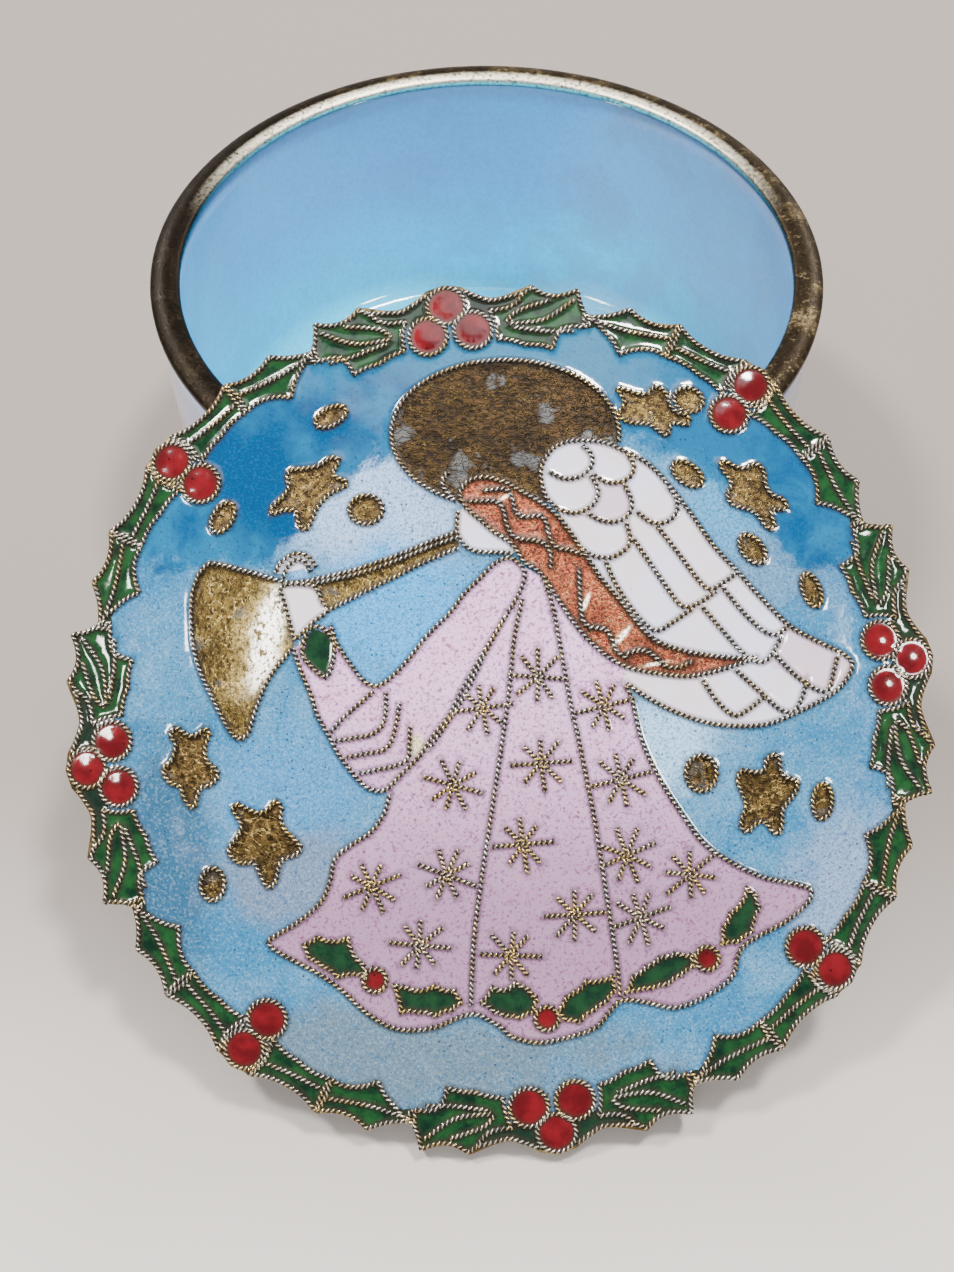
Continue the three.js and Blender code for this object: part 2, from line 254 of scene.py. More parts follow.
def in_wreath(points, octant):
    """Places on the lid's face of points of one eighth of the wreath. Every second eighth is mirrored."""
    out = []
    for degrees, reach in points:
        along = (octant + 1) * OCTANT - degrees if octant % 2 else octant * OCTANT + degrees
        turn = math.radians(WREATH_START - along)
        out.append((reach * WREATH_UNIT * math.cos(turn), reach * WREATH_UNIT * math.sin(turn)))
    return np.array(out)


berries = np.vstack([in_wreath(THREE_BERRIES + TWO_BERRIES, octant) for octant in OCTANTS[::2]])
leaf_outlines = []
wreath_wires = []
for octant in OCTANTS:
    for leaf in (LARGE_LEAF, OUTER_LEAF, INNER_LEAF):
        outline = bowed(in_wreath(leaf, octant), 0.07)
        leaf_outlines.append(outline)
        wreath_wires.append((outline, True))
    for vein in LARGE_VEINS + [OUTER_VEIN, INNER_VEIN] + STEM_WIRES:
        wreath_wires.append((curve(in_wreath(vein, octant)), False))
berry_radius = BERRY_WIRE * WREATH_UNIT
wreath_wires += [(circle(berry, berry_radius), True) for berry in berries]

# The picture, an angel with a trumpet, in points of the view

HALO_MIDDLE = (505, 434)
HALO_RADII = (114, 74)
HALO_TURN = (-6, 245)
CURL = [(447.7, 472), (442.3, 481), (445, 490), (454, 499)]
WING = [
    (557.5, 509), (546, 497), (541, 479), (542, 465), (552, 449), (566, 442), (581, 440.6), (605, 442.8),
    (626.7, 452.5), (648.4, 464.4), (670, 487), (691.8, 515.4), (713.5, 545.8), (738.4, 572.9),
    (756.8, 593.5), (787, 623.8), (813, 639), (843.6, 654.2), (852.2, 665), (843.6, 682.4), (828.4, 695.4),
    (800, 710.6), (767.7, 723.6), (735, 725.7), (702.6, 721.4), (670, 709.5), (644, 695.4), (626.7, 683.4),
]
WING_SCALES = [
    [
        (548.6, 472), (562.9, 478.4), (577, 477.5), (587.9, 471), (592.3, 461.4), (589.6, 452.5),
        (582.5, 445.4),
    ],
    [(592, 474), (605.7, 482), (620, 482), (630.7, 475.7), (633.4, 465), (627, 454)],
    [(557.5, 508.8), (571.8, 513.2), (584.3, 510.5), (595, 501.6), (597.7, 490), (590.5, 475.7)],
    [(587, 513.2), (600.4, 520.4), (614.6, 522), (627, 515.9), (631.6, 502.5), (623.6, 482.9)],
    [(636.5, 512), (652.7, 523), (668, 520.8), (676.6, 511), (675.5, 498), (668, 487)],
    [(581, 548), (592, 555.5), (609.4, 557.7), (624.6, 550), (630, 539), (625.6, 522)],
]
FEATHERS = [
    [
        (605, 561), (615.9, 584.8), (633.2, 610.8), (648.4, 627), (658.2, 630.3), (670, 623.8),
        (691.8, 608.6),
    ],
    [(633.2, 539.3), (652.7, 567.4), (672.3, 595.6), (683, 606.5), (696, 604.3), (715.6, 591.3)],
    [(657, 526.2), (678.8, 554.4), (700.4, 582.6), (711.3, 589), (724.3, 581.5), (736.2, 572.9)],
    [(722, 587), (741.6, 610.8), (761, 629.2), (774, 634.6), (782.8, 630.3), (787, 624)],
    [(701.5, 606.5), (722, 630.3), (743.8, 654), (759, 661.8), (769.8, 656.3), (780.7, 636.8)],
    [(774, 654), (795.9, 675.9), (817.5, 690), (828.4, 688.9), (832.7, 673.7), (837, 656.3)],
    [(735, 669.4), (756.8, 688.9), (778.5, 708.4), (791.5, 711.6), (800, 701.9), (806.7, 680)],
    [(702.6, 680.2), (715.6, 699.7), (733, 714.9), (746, 710.6), (765.5, 695.4)],
]
PINK_FEATHERS = [
    [(587, 513), (600, 520), (615, 522), (627, 516), (632, 502), (624, 483), (605, 483), (598, 492)],
    [
        (787, 624), (783, 630), (781, 637), (770, 656), (759, 662), (795, 676), (817, 690), (845, 682),
        (852, 665), (813, 639),
    ],
]
HAIR_TOP = [
    (459.3, 495.4), (462.9, 486.4), (471.8, 479.3), (486, 477.5), (505.7, 482.9), (521.8, 491.8),
    (539.6, 501.6), (555.7, 514), (568, 529.3), (579, 545.4), (589.6, 561.4), (602, 579.3), (620, 600.7),
    (648.4, 634.7), (670, 646.6), (702.6, 654.2), (735, 657.4), (756.8, 657.4),
]
HAIR_BOTTOM = [
    (459.3, 495.4), (466.4, 507.9), (480.7, 520.4), (495, 532.9), (509.3, 541.8), (518, 552.5),
    (525.4, 563.2), (541.4, 574), (557, 597.8), (574.7, 623.8), (596.4, 647.7), (622.4, 665),
    (652.7, 672.6), (687.4, 675.9), (713.5, 671.5), (735, 665), (756.8, 657.4),
]
HAIR_STRANDS = [
    [
        (482.5, 491), (504, 489), (511, 495.4), (515.5, 511.4), (523.6, 516.8), (539.6, 515.9),
        (545.9, 522), (548.6, 534.6), (555.7, 547), (571.8, 550.7), (582.5, 554.3),
    ],
    [
        (467, 501.6), (495, 501.6), (503, 509.6), (507.5, 527.5), (516.4, 538.2), (541.4, 541.8),
        (550.4, 552.5), (550.4, 568.6),
    ],
    [(579, 569.6), (581, 610.8), (587.7, 626), (607, 630.3), (615.9, 649.8), (626.7, 658.5)],
    [(624.6, 654), (642, 649.8), (655, 656.3), (665.8, 666), (678.8, 667), (691.8, 660.7)],
]
FACE = [
    (457.5, 511.4), (456.6, 529.3), (459.3, 538.2), (466.4, 547), (477, 551.6), (495, 552.5),
    (512.9, 553.4),
]
TRUMPET_TOP = [
    (197.7, 577), (205.7, 566.4), (214.6, 563.8), (241.4, 570), (270, 578), (284, 582.5), (298.6, 582.5),
    (321.8, 578), (357.5, 569), (393.2, 556.6), (429, 542.3), (457, 532),
]
TRUMPET_DOUBLE = [(314, 584), (357.5, 574), (393.2, 562), (429, 547.5), (458, 537)]
BELL_LEFT = [
    (197.7, 577), (192.3, 595), (191.4, 620), (193.2, 645), (200.4, 671.8), (211, 695), (223.6, 720),
    (232.5, 734.3), (240.5, 738.8), (248.6, 732.5), (257.5, 705.7), (270, 677), (291.4, 649.5),
]
TUBE_BOTTOM = [(327, 611), (348.6, 600.4), (384.3, 582.5), (420, 564.6), (458, 548)]
HAND = [
    (282.5, 586), (285, 605.7), (293.2, 634.3), (297, 638), (312.9, 622.7), (327, 611), (321.8, 600.4),
    (312.9, 586),
]
THUMBS = [
    [(275.4, 573.6), (280.7, 562.9), (295, 554), (307.5, 556.6), (316.4, 567.3)],
    [(283, 579), (287, 568), (296, 560.5), (305, 562), (311, 572)],
]
CUFF = [(311, 627), (330.7, 634.3), (334.3, 654), (327, 677), (312.9, 668.2), (302, 652)]
SLEEVE = [
    (293, 648), (302, 673.6), (311, 695), (318, 716.4), (329, 736), (339.6, 755.7), (357.5, 779),
    (371.8, 789.6), (386, 789.6), (400.4, 775.4), (420, 755.7), (434.3, 734.3), (448.6, 716.4), (461, 692),
    (480, 659), (506, 615),
]
ARM_INSIDE = [
    (330.7, 625.4), (337.9, 645), (352, 666.4), (364.6, 681.6), (375.4, 686), (386, 681.6), (404, 664.6),
    (427, 636), (450, 612.9), (462.9, 595.4), (480.7, 577.5), (495, 563.2), (509.3, 557.9), (521.8, 566.8),
    (524.5, 577.5), (518, 595.4), (506, 615),
]
FOLDS = [
    [(373.6, 691.4), (357.5, 705.7), (341.4, 720), (330.7, 732.5)],
    [(386, 693.2), (386, 709.3), (382.5, 725.4), (371.8, 734.3), (354, 737.9), (334.3, 741.4)],
    [(399.5, 704), (396.8, 721.8), (391.4, 741.4), (382.5, 750.4), (364.6, 754), (346.8, 757.5)],
    [(410, 726.3), (409.3, 743.2), (407.5, 759.3), (393.2, 766.4), (375.4, 770), (359.3, 773.6)],
]
ROBE_LEFT = [
    (390, 794), (384, 814), (371, 832), (353, 844), (336, 858), (330, 882), (321, 902), (301, 920),
    (277, 935), (269, 941), (274, 949), (295, 961),
]
ROBE_HEM = [
    (295, 961), (318, 973), (342, 990), (365, 1011), (389, 1026), (412, 1030), (438, 1026), (459, 1017),
    (477, 1014), (500, 1026), (512, 1036), (538, 1042), (567, 1037), (597, 1026), (620, 1001), (647, 1002),
    (676, 1007), (705, 996), (732, 976), (743, 946), (787, 920), (809, 900), (811, 888),
]
ROBE_RIGHT = [
    (625, 685), (632, 700), (641, 738), (658, 776), (682, 814), (705, 844), (735, 864), (764, 877),
    (793, 883), (811, 888),
]
PANELS = [
    [(522, 599), (514, 640), (508, 700), (494, 797), (482, 876), (474, 941), (471, 1005)],
    [(543, 577), (553, 609), (570, 700), (582, 756), (594, 817), (606, 891), (617, 964), (620, 996)],
    [(506, 615), (484, 655), (462, 700), (430, 748)],
]
HEM_LEAVES = [
    [
        (303, 944), (318, 936), (332, 941), (349, 936), (352, 950), (364, 964), (368, 978), (352, 974),
        (338, 978), (322, 966), (308, 958),
    ],
    [
        (392, 984), (406, 986), (420, 990), (434, 985), (455, 990), (463, 1002), (452, 1010), (436, 1016),
        (418, 1012), (400, 1013), (398, 998),
    ],
    [
        (480, 1002), (492, 986), (504, 990), (516, 981), (528, 988), (538, 998), (534, 1012), (520, 1018),
        (506, 1016), (494, 1012),
    ],
    [
        (556, 1012), (566, 996), (574, 992), (586, 980), (600, 980), (614, 974), (616, 990), (606, 1002),
        (594, 1010), (580, 1022), (566, 1020),
    ],
    [
        (624, 994), (632, 976), (646, 966), (660, 956), (676, 952), (692, 954), (694, 966), (682, 974),
        (668, 984), (652, 988), (638, 990),
    ],
    [
        (721, 945), (722, 928), (730, 912), (740, 904), (746, 886), (756, 894), (760, 908), (754, 920),
        (752, 932), (738, 942),
    ],
]
HEM_BERRIES = [(375, 980), (547, 1018), (707, 958)]
HEM_BERRY_RADIUS = 12
STARS = [
    [
        (335, 458), (339, 461), (333, 475), (345, 481), (346, 486), (334, 492), (324, 500), (316, 511),
        (309, 527), (303, 529), (298, 522), (297, 512), (285, 510), (273, 514), (272, 508), (284, 496),
        (289, 487), (287, 477), (291, 470), (303, 469), (319, 466), (328, 459),
    ],
    [
        (173, 730), (178, 728), (186, 734), (192, 736), (198, 734), (205, 729), (210, 733), (207, 742),
        (205, 752), (208, 762), (216, 769), (218, 777), (211, 785), (202, 787), (198, 795), (195, 806),
        (190, 806), (184, 797), (181, 787), (171, 783), (165, 776), (164, 768), (171, 762), (175, 752),
        (176, 744), (171, 736),
    ],
    [
        (233, 808), (238, 804), (248, 809), (259, 813), (268, 809), (276, 801), (282, 808), (281, 817),
        (284, 828), (294, 838), (301, 847), (297, 854), (284, 859), (279, 867), (276, 881), (271, 887),
        (265, 884), (259, 871), (254, 863), (241, 863), (232, 857), (229, 849), (235, 840), (241, 831),
        (241, 822), (234, 812),
    ],
    [
        (617, 389), (622, 389), (635, 393), (646, 394), (654, 387), (662, 389), (667, 395), (670, 406),
        (677, 413), (686, 415), (689, 419), (686, 425), (675, 423), (670, 426), (668, 434), (664, 435),
        (656, 429), (648, 424), (632, 423), (621, 419), (618, 413), (624, 405), (622, 397),
    ],
    [
        (720, 463), (726, 462), (736, 467), (744, 468), (752, 464), (760, 466), (764, 474), (765, 484),
        (771, 494), (782, 499), (786, 505), (784, 509), (773, 510), (771, 514), (774, 524), (771, 529),
        (765, 526), (758, 516), (750, 510), (738, 507), (729, 502), (727, 494), (731, 486), (729, 478),
        (722, 470),
    ],
    [
        (773, 754), (779, 757), (780, 767), (784, 776), (796, 780), (797, 788), (791, 798), (784, 806),
        (782, 814), (782, 825), (778, 833), (772, 831), (765, 822), (756, 823), (748, 831), (741, 827),
        (742, 817), (746, 806), (743, 796), (738, 783), (738, 775), (743, 770), (756, 772), (764, 769),
        (766, 759),
    ],
]
DOTS = [
    (331, 417, 17, 9, -27), (223, 518, 16.5, 10, -58), (366, 510, 17, 14.4, 0), (213, 884, 12, 16.4, 0),
    (688, 400, 15, 12, 20), (687, 474, 17.6, 10, 35), (752, 549, 17, 10.4, 50), (811, 590, 17.6, 9, 68),
    (701, 773, 15.6, 18, 0), (822, 801, 10, 18, 4),
]
FLAKES = [
    (482, 708, -8), (538, 677, 4), (604, 706, -14), (453, 785, 15), (541, 763, -4), (621, 779, -14),
    (372, 886, -22), (447, 875, 20), (523, 844, -5), (627, 855, -24), (690, 874, -40), (420, 945, 5),
    (511, 955, 2), (575, 914, -4), (641, 917, -20),
]
FLAKE_BAR = 31
FLAKE_ARM = 27
FLAKE_SPREAD = 42
FLAKE_GAP = 3
ELLIPSE_POINTS = 48


def ellipse(middle, radii, start=0, end=360, turn=0):
    t = np.radians(np.linspace(start, end, ELLIPSE_POINTS, endpoint=end - start < 360))
    a, b = radii[0] * np.cos(t), -radii[1] * np.sin(t)
    c, s = math.cos(math.radians(turn)), math.sin(math.radians(turn))
    return np.stack([middle[0] + a * c - b * s, middle[1] + a * s + b * c], 1)


def star(middle, turn, tip, waist):
    """A five-armed star whose arms end round."""
    t = np.radians(np.arange(0, 360, 4))
    reach = waist + (tip - waist) * np.abs(np.cos(2.5 * t)) ** 1.6
    angle = t + math.radians(turn)
    return np.stack([middle[0] + reach * np.sin(angle), middle[1] - reach * np.cos(angle)], 1)


def line_in_view(points, closed=False):
    return curve(seen(points), closed)


halo = even(seen(ellipse(HALO_MIDDLE, HALO_RADII, *HALO_TURN)))
halo_area = seen(ellipse(HALO_MIDDLE, HALO_RADII))
bell = TRUMPET_TOP[:7] + [(285, 605.7), (293.2, 634.3)] + BELL_LEFT[:0:-1]
tube = TRUMPET_TOP[6:] + TUBE_BOTTOM[::-1]
robe_area = (
    [(509, 558), (540, 575), (575, 625), (625, 668)] + ROBE_RIGHT + ROBE_HEM[::-1] + ROBE_LEFT[::-1]
    + [(386, 789.6)] + SLEEVE[9:15] + [(506, 615), (500, 590)]
)
arm_area = SLEEVE + ARM_INSIDE[::-1][1:]
stars = [curve(seen(outline), True) for outline in STARS]
dots = [even(seen(ellipse(d[:2], d[2:4], turn=d[4])), closed=True) for d in DOTS]
hem_leaves = [bowed(seen(leaf), 0.12) for leaf in HEM_LEAVES]
hem_berries = [even(seen(ellipse(b, (HEM_BERRY_RADIUS,) * 2)), closed=True) for b in HEM_BERRIES]

figure_wires = [(halo, False)]
figure_lines = [
    CURL, WING, *WING_SCALES, *FEATHERS, HAIR_TOP, HAIR_BOTTOM, *HAIR_STRANDS, FACE,
    TRUMPET_TOP, TRUMPET_DOUBLE, BELL_LEFT, TUBE_BOTTOM, *THUMBS, SLEEVE, ARM_INSIDE, *FOLDS,
    ROBE_LEFT, ROBE_HEM, ROBE_RIGHT, *PANELS,
]
figure_wires += [(line_in_view(points), False) for points in figure_lines]
figure_wires += [(line_in_view(HAND, True), True), (line_in_view(CUFF, True), True)]
small_wires = [(line, True) for line in stars + dots + hem_leaves + hem_berries]


def flake_wires(x, y, tilt):
    """A snowflake: one straight bar, and three short wires on each side of it."""
    def spoke(start, end, turn):
        turn = math.radians(turn)
        c, s = math.cos(turn), math.sin(turn)
        ends = [(x + start * c, y + start * s), (x + end * c, y + end * s)]
        return even(seen(ends)), False

    wires = [spoke(-FLAKE_BAR, FLAKE_BAR, tilt)]
    for side in (90, -90):
        for spread in (-FLAKE_SPREAD, 0, FLAKE_SPREAD):
            reach = FLAKE_ARM * random.uniform(0.85, 1.1)
            wires.append(spoke(FLAKE_GAP, reach, tilt + side + spread + random.uniform(-5, 5)))
    return wires


for flake in FLAKES:
    small_wires += flake_wires(*flake)

# The lid's outline, as far out as its leaves and berries reach

OUTLINE_COUNT = 1440
CORE_REACH = 398 * WREATH_UNIT


def outline_reach():
    turns = np.linspace(-math.pi, math.pi, OUTLINE_COUNT, endpoint=False)
    reach = np.full(OUTLINE_COUNT, CORE_REACH)
    shapes = leaf_outlines + [circle(berry, berry_radius) for berry in berries]
    shapes += [in_wreath(cell, octant) for cell in STEM_CELLS for octant in OCTANTS]
    for shape in shapes:
        x, y = even(shape, 0.05, True).T
        share = (np.arctan2(y, x) + math.pi) / (2 * math.pi)
        slots = np.round(share * OUTLINE_COUNT).astype(int) % OUTLINE_COUNT
        np.maximum.at(reach, slots, np.hypot(x, y))
    for _ in range(2):
        reach = np.maximum(reach, (np.roll(reach, 1) + np.roll(reach, -1)) / 2)
    return turns, reach


outline_turns, outline = outline_reach()


# Meshes

def add_mesh(name, vertices, faces, materials, kinds=None, smooth=True, groove_and_shade=None, on_lid=True):
    """A mesh object from lengths in millimetres, placed and riding on the box."""
    mesh = bpy.data.meshes.new(name)
    mesh.from_pydata((np.asarray(vertices) * MM).tolist(), [], [list(map(int, f)) for f in faces])
    if kinds is not None:
        mesh.polygons.foreach_set("material_index", np.asarray(kinds, np.int32))
    mesh.polygons.foreach_set("use_smooth", np.full(len(mesh.polygons), smooth))
    if groove_and_shade is not None:
        layer = mesh.attributes.new("groove_and_shade", "FLOAT", "POINT")
        layer.data.foreach_set("value", np.asarray(groove_and_shade, np.float32))
    for made in materials:
        mesh.materials.append(made)
    mesh.update()
    piece = bpy.data.objects.new(name, mesh)
    bpy.context.scene.collection.objects.link(piece)
    if on_lid:
        piece.location = Vector(lid_middle * MM)
        piece.rotation_euler = (LEAN, 0, 0)
    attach(piece, "root")
    return piece


def dome_normal(flat):
    slope = 2 * DOME_RISE / LID_RADIUS**2
    normal = np.stack([flat[:, 0] * slope, flat[:, 1] * slope, np.ones(len(flat))], 1)
    return normal / np.linalg.norm(normal, axis=1)[:, None]


def rope(centre, normal, closed, base):
    """Rings of two twisted strands along a line, their faces, and how dark each point is: patina in the
    groove between the strands and painted shade down the wire's lower sides.
    """
    if closed:
        along = np.roll(centre, -1, 0) - np.roll(centre, 1, 0)
    else:
        along = np.gradient(centre, axis=0)
    along /= np.linalg.norm(along, axis=1)[:, None] + 1e-9
    side = np.cross(along, normal)
    side /= np.linalg.norm(side, axis=1)[:, None] + 1e-9
    up = np.cross(side, along)
    count = len(centre)
    length = count * WIRE_STEP
    turns = max(1, round(2 * length / WIRE_TURN)) / 2 if closed else length / WIRE_TURN
    phase = np.linspace(0, 2 * math.pi * turns, count, endpoint=not closed) + random.uniform(0, 6)
    round_it = np.linspace(0, 2 * math.pi, WIRE_SIDES, endpoint=False)
    reach = STRAND_OUT + STRAND_LOBE * np.cos(2 * round_it)
    angle = phase[:, None] + round_it[None, :]
    sideways = np.cos(angle)[:, :, None] * side[:, None, :]
    upwards = np.sin(angle)[:, :, None] * up[:, None, :]
    rings = centre[:, None, :] + reach[None, :, None] * (sideways + upwards)
    faces = []
    last = count if closed else count - 1
    half = WIRE_SIDES // 2
    shift = half if closed and round(2 * turns) % 2 else 0
    for i in range(last):
        nxt = (i + 1) % count
        offset = shift if nxt == 0 else 0
        for j in range(WIRE_SIDES):
            k = (j + 1) % WIRE_SIDES
            faces.append((
                base + i * WIRE_SIDES + j,
                base + nxt * WIRE_SIDES + (j + offset) % WIRE_SIDES,
                base + nxt * WIRE_SIDES + (k + offset) % WIRE_SIDES,
                base + i * WIRE_SIDES + k,
            ))
    if not closed:
        faces.append(tuple(base + j for j in range(WIRE_SIDES)))
        faces.append(tuple(base + (count - 1) * WIRE_SIDES + j for j in reversed(range(WIRE_SIDES))))
    groove_and_shade = np.tile((1 - np.cos(2 * round_it)) / 2, count).reshape(count, WIRE_SIDES)
    height = np.sin(angle) * reach[None, :] / (STRAND_OUT + STRAND_LOBE)
    # Painted shade down the lower sides of the wire.
    side_shade = np.clip((DARK_BELOW - height) / DARK_FADE, 0, 1)
    return rings.reshape(-1, 3), faces, np.maximum(groove_and_shade, side_shade).ravel()


def add_wires(name, lines, metal, on_lid=True):
    """One mesh of twisted wires, each given by its middle line, its outward directions and if it closes."""
    vertices, faces, grooves_and_shade, base = [], [], [], 0
    for centre, normal, closed in lines:
        rings, quads, groove_and_shade = rope(centre, normal, closed, base)
        vertices.append(rings)
        faces += quads
        grooves_and_shade.append(groove_and_shade)
        base += len(rings)
    add_mesh(name, np.vstack(vertices), faces, [metal], groove_and_shade=np.concatenate(grooves_and_shade), on_lid=on_lid)


def lid_wires(name, wires, metal):
    lines = []
    for line, closed in wires:
        height = face_height(np.hypot(line[:, 0], line[:, 1])) + WIRE_SEAT
        lines.append((np.column_stack([line, height]), dome_normal(line), closed))
    add_wires(name, lines, metal)


def turned(profile, count):
    """A closed profile of (radius, height) turned about the upright axis: points, faces and their rows."""
    turn = np.linspace(0, 2 * math.pi, count, endpoint=False)
    rows = [np.stack([r * np.cos(turn), r * np.sin(turn), np.full(count, z)], 1) for r, z in profile]
    faces, found_rows = [], []
    total = len(profile)
    for i in range(total):
        nxt = (i + 1) % total
        for j in range(count):
            k = (j + 1) % count
            faces.append((i * count + j, i * count + k, nxt * count + k, nxt * count + j))
            found_rows.append(i)
    return np.vstack(rows), faces, found_rows


def arc(x, z, radius, start, end, count):
    t = np.radians(np.linspace(start, end, count))
    return [(x + radius * math.cos(a), z + radius * math.sin(a)) for a in t]


# Enamels and metals

def node(tree, kind, inputs=None, **settings):
    made = tree.nodes.new(kind)
    for key, value in settings.items():
        setattr(made, key, value)
    for key, value in (inputs or {}).items():
        socket = made.inputs[key]
        if isinstance(value, bpy.types.NodeSocket):
            tree.links.new(value, socket)
        else:
            socket.default_value = value
    return made


def start(name):
    made = bpy.data.materials.new(name)
    made.use_nodes = True
    tree = made.node_tree
    place = node(tree, "ShaderNodeTexCoord").outputs["Object"]
    return made, tree, tree.nodes["Principled BSDF"], place


def clouds(tree, place, size, detail=3.0, rough=0.5, stretch=(1, 1, 1), twist=0.0):
    """Soft noise whose features are about the given size in millimetres."""
    moved = node(tree, "ShaderNodeMapping", {"Vector": place, "Scale": stretch}).outputs["Vector"]
    return node(tree, "ShaderNodeTexNoise", {
        "Vector": moved, "Scale": 1 / (size * MM), "Detail": detail, "Roughness": rough,
        "Distortion": twist,
    }).outputs["Fac"]


def ramp(tree, value, low, high, bottom=0.0, top=1.0):
    """The value spread so that low gives bottom and high gives top."""
    return node(tree, "ShaderNodeMapRange", {
        "Value": value, "From Min": low, "From Max": high, "To Min": bottom, "To Max": top,
    }, interpolation_type="SMOOTHSTEP").outputs["Result"]


def mixed(tree, share, first, second):
    made = node(tree, "ShaderNodeMix", data_type="RGBA", blend_type="MIX")
    for socket, value in ((made.inputs[0], share), (made.inputs[6], first), (made.inputs[7], second)):
        if isinstance(value, bpy.types.NodeSocket):
            tree.links.new(value, socket)
        else:
            socket.default_value = value if socket == made.inputs[0] else (*value, 1)
    return made.outputs[2]


def sums(tree, kind, first, second):
    return node(tree, "ShaderNodeMath", {0: first, 1: second}, operation=kind).outputs[0]


def swing(tree, cloud, middle, reach):
    """Noise made to go below and above zero."""
    return sums(tree, "MULTIPLY", sums(tree, "SUBTRACT", cloud, middle), reach)


def distance(tree, vector):
    return node(tree, "ShaderNodeVectorMath", {0: vector}, operation="LENGTH").outputs["Value"]


def bumped(tree, shader, height, depth):
    """Bump from a height between 0 and 1, with its depth in millimetres."""
    made = node(tree, "ShaderNodeBump", {"Height": height, "Distance": depth * MM, "Strength": 1.0})
    tree.links.new(made.outputs["Normal"], shader.inputs["Normal"])


def apart(tree, place):
    out = node(tree, "ShaderNodeSeparateXYZ", {"Vector": place}).outputs
    return out["X"], out["Y"], out["Z"]


def specks(tree, place, apart_by, size, share):
    """Scattered dots about so many millimetres apart: 1 on a dot, 0 beside it."""
    cells = node(tree, "ShaderNodeTexVoronoi", {"Vector": place, "Scale": 1 / (apart_by * MM)}).outputs
    draw = node(tree, "ShaderNodeSeparateColor", {"Color": cells["Color"]}).outputs[0]
    chosen = ramp(tree, draw, share, share - 0.05)
    edge = size / apart_by / 2
    return sums(tree, "MULTIPLY", ramp(tree, cells["Distance"], edge * 1.35, edge * 0.65), chosen)


def patch(tree, place, middle, radii, turn=0.0):
    """A soft round patch on the lid, in points of the view: 1 inside, 0 beyond it."""
    x, y = seen([middle])[0]
    moved = node(tree, "ShaderNodeMapping", {
        "Vector": place, "Location": (x * MM, y * MM, 0), "Rotation": (0, 0, math.radians(turn)),
        "Scale": (radii[0] * WREATH_UNIT * MM, radii[1] * WREATH_UNIT * MM, 1),
    }, vector_type="TEXTURE").outputs["Vector"]
    reach = distance(tree, moved)
    wisp = swing(tree, clouds(tree, place, 4.0, 4.0, 0.6), 0.5, 1.6)
    return ramp(tree, sums(tree, "ADD", reach, wisp), 1.25, 0.45)


def mottled(tree, place, colour, *coats):
    """The colour under coats of noise: size, detail, roughness, low, high, share and tone of each."""
    for size, detail, rough, low, high, share, tone in coats:
        coat = ramp(tree, clouds(tree, place, size, detail, rough), low, high, 0.0, share)
        colour = mixed(tree, coat, colour, tone)
    return colour


def dotted(tree, place, colour, grains, share, tone):
    """The colour with fine dots of another tone in it."""
    return mixed(tree, sums(tree, "MULTIPLY", specks(tree, place, *grains), share), colour, tone)


def shade_beside_wires(tree, colour, share=0.5):
    """The colour with a thin line of painted shade where the enamel meets a wire."""
    near = node(tree, "ShaderNodeAttribute", attribute_name="groove_and_shade").outputs["Fac"]
    return mixed(tree, sums(tree, "MULTIPLY", near, share), colour, (0.03, 0.022, 0.015))


def glassy(shader):
    shader.inputs["Roughness"].default_value = 0.10
    shader.inputs["Specular IOR Level"].default_value = 0.45
    shader.inputs["Coat Weight"].default_value = 0.2
    shader.inputs["Coat Roughness"].default_value = 0.05


def finished(made, tree, shader, place, colour, depth=0.02):
    tree.links.new(shade_beside_wires(tree, colour), shader.inputs["Base Color"])
    glassy(shader)
    bumped(tree, shader, clouds(tree, place, 1.6, 2.0), depth)
    return made


def enamel(name, light, dark, cloud=3.0, speck=None, grains=(0.6, 0.14, 0.5), strength=0.7):
    """Glossy enamel, clouded between two colours, with fine dots of another colour in it."""
    made, tree, shader, place = start(name)
    colour = mixed(tree, ramp(tree, clouds(tree, place, cloud, 4.0, 0.6), 0.35, 0.65), light, dark)
    if speck:
        colour = dotted(tree, place, colour, grains, strength, speck)
    return finished(made, tree, shader, place, colour)


SKY_PATCHES = [
    ((165, 850), (60, 130), (0.030, 0.105, 0.185)),
    ((285, 790), (75, 70), (0.055, 0.26, 0.52)),
    ((300, 880), (90, 55), (0.16, 0.22, 0.32)),
    ((380, 1060), (270, 60), (0.125, 0.19, 0.235)),
    ((860, 900), (80, 110), (0.23, 0.34, 0.52)),
    ((745, 565), (110, 60), (0.115, 0.25, 0.40)),
    ((715, 510), (60, 60), (0.080, 0.31, 0.56)),
    ((370, 510), (110, 75), (0.40, 0.58, 0.86)),
    ((395, 615), (95, 75), (0.045, 0.37, 0.80)),
    ((665, 740), (50, 55), (0.40, 0.68, 0.95)),
]
DEEP_MIDDLE = (0.0028, 0, 0)
DEEP_PATCHES = [
    ((530, 340), (210, 60), 0, (0.006, 0.150, 0.290)),
    ((720, 410), (110, 60), 25, (0.003, 0.120, 0.270)),
    ((262, 480), (62, 105), 38, (0.002, 0.052, 0.155)),
    ((330, 425), (50, 26), -30, (0.001, 0.060, 0.170)),
]


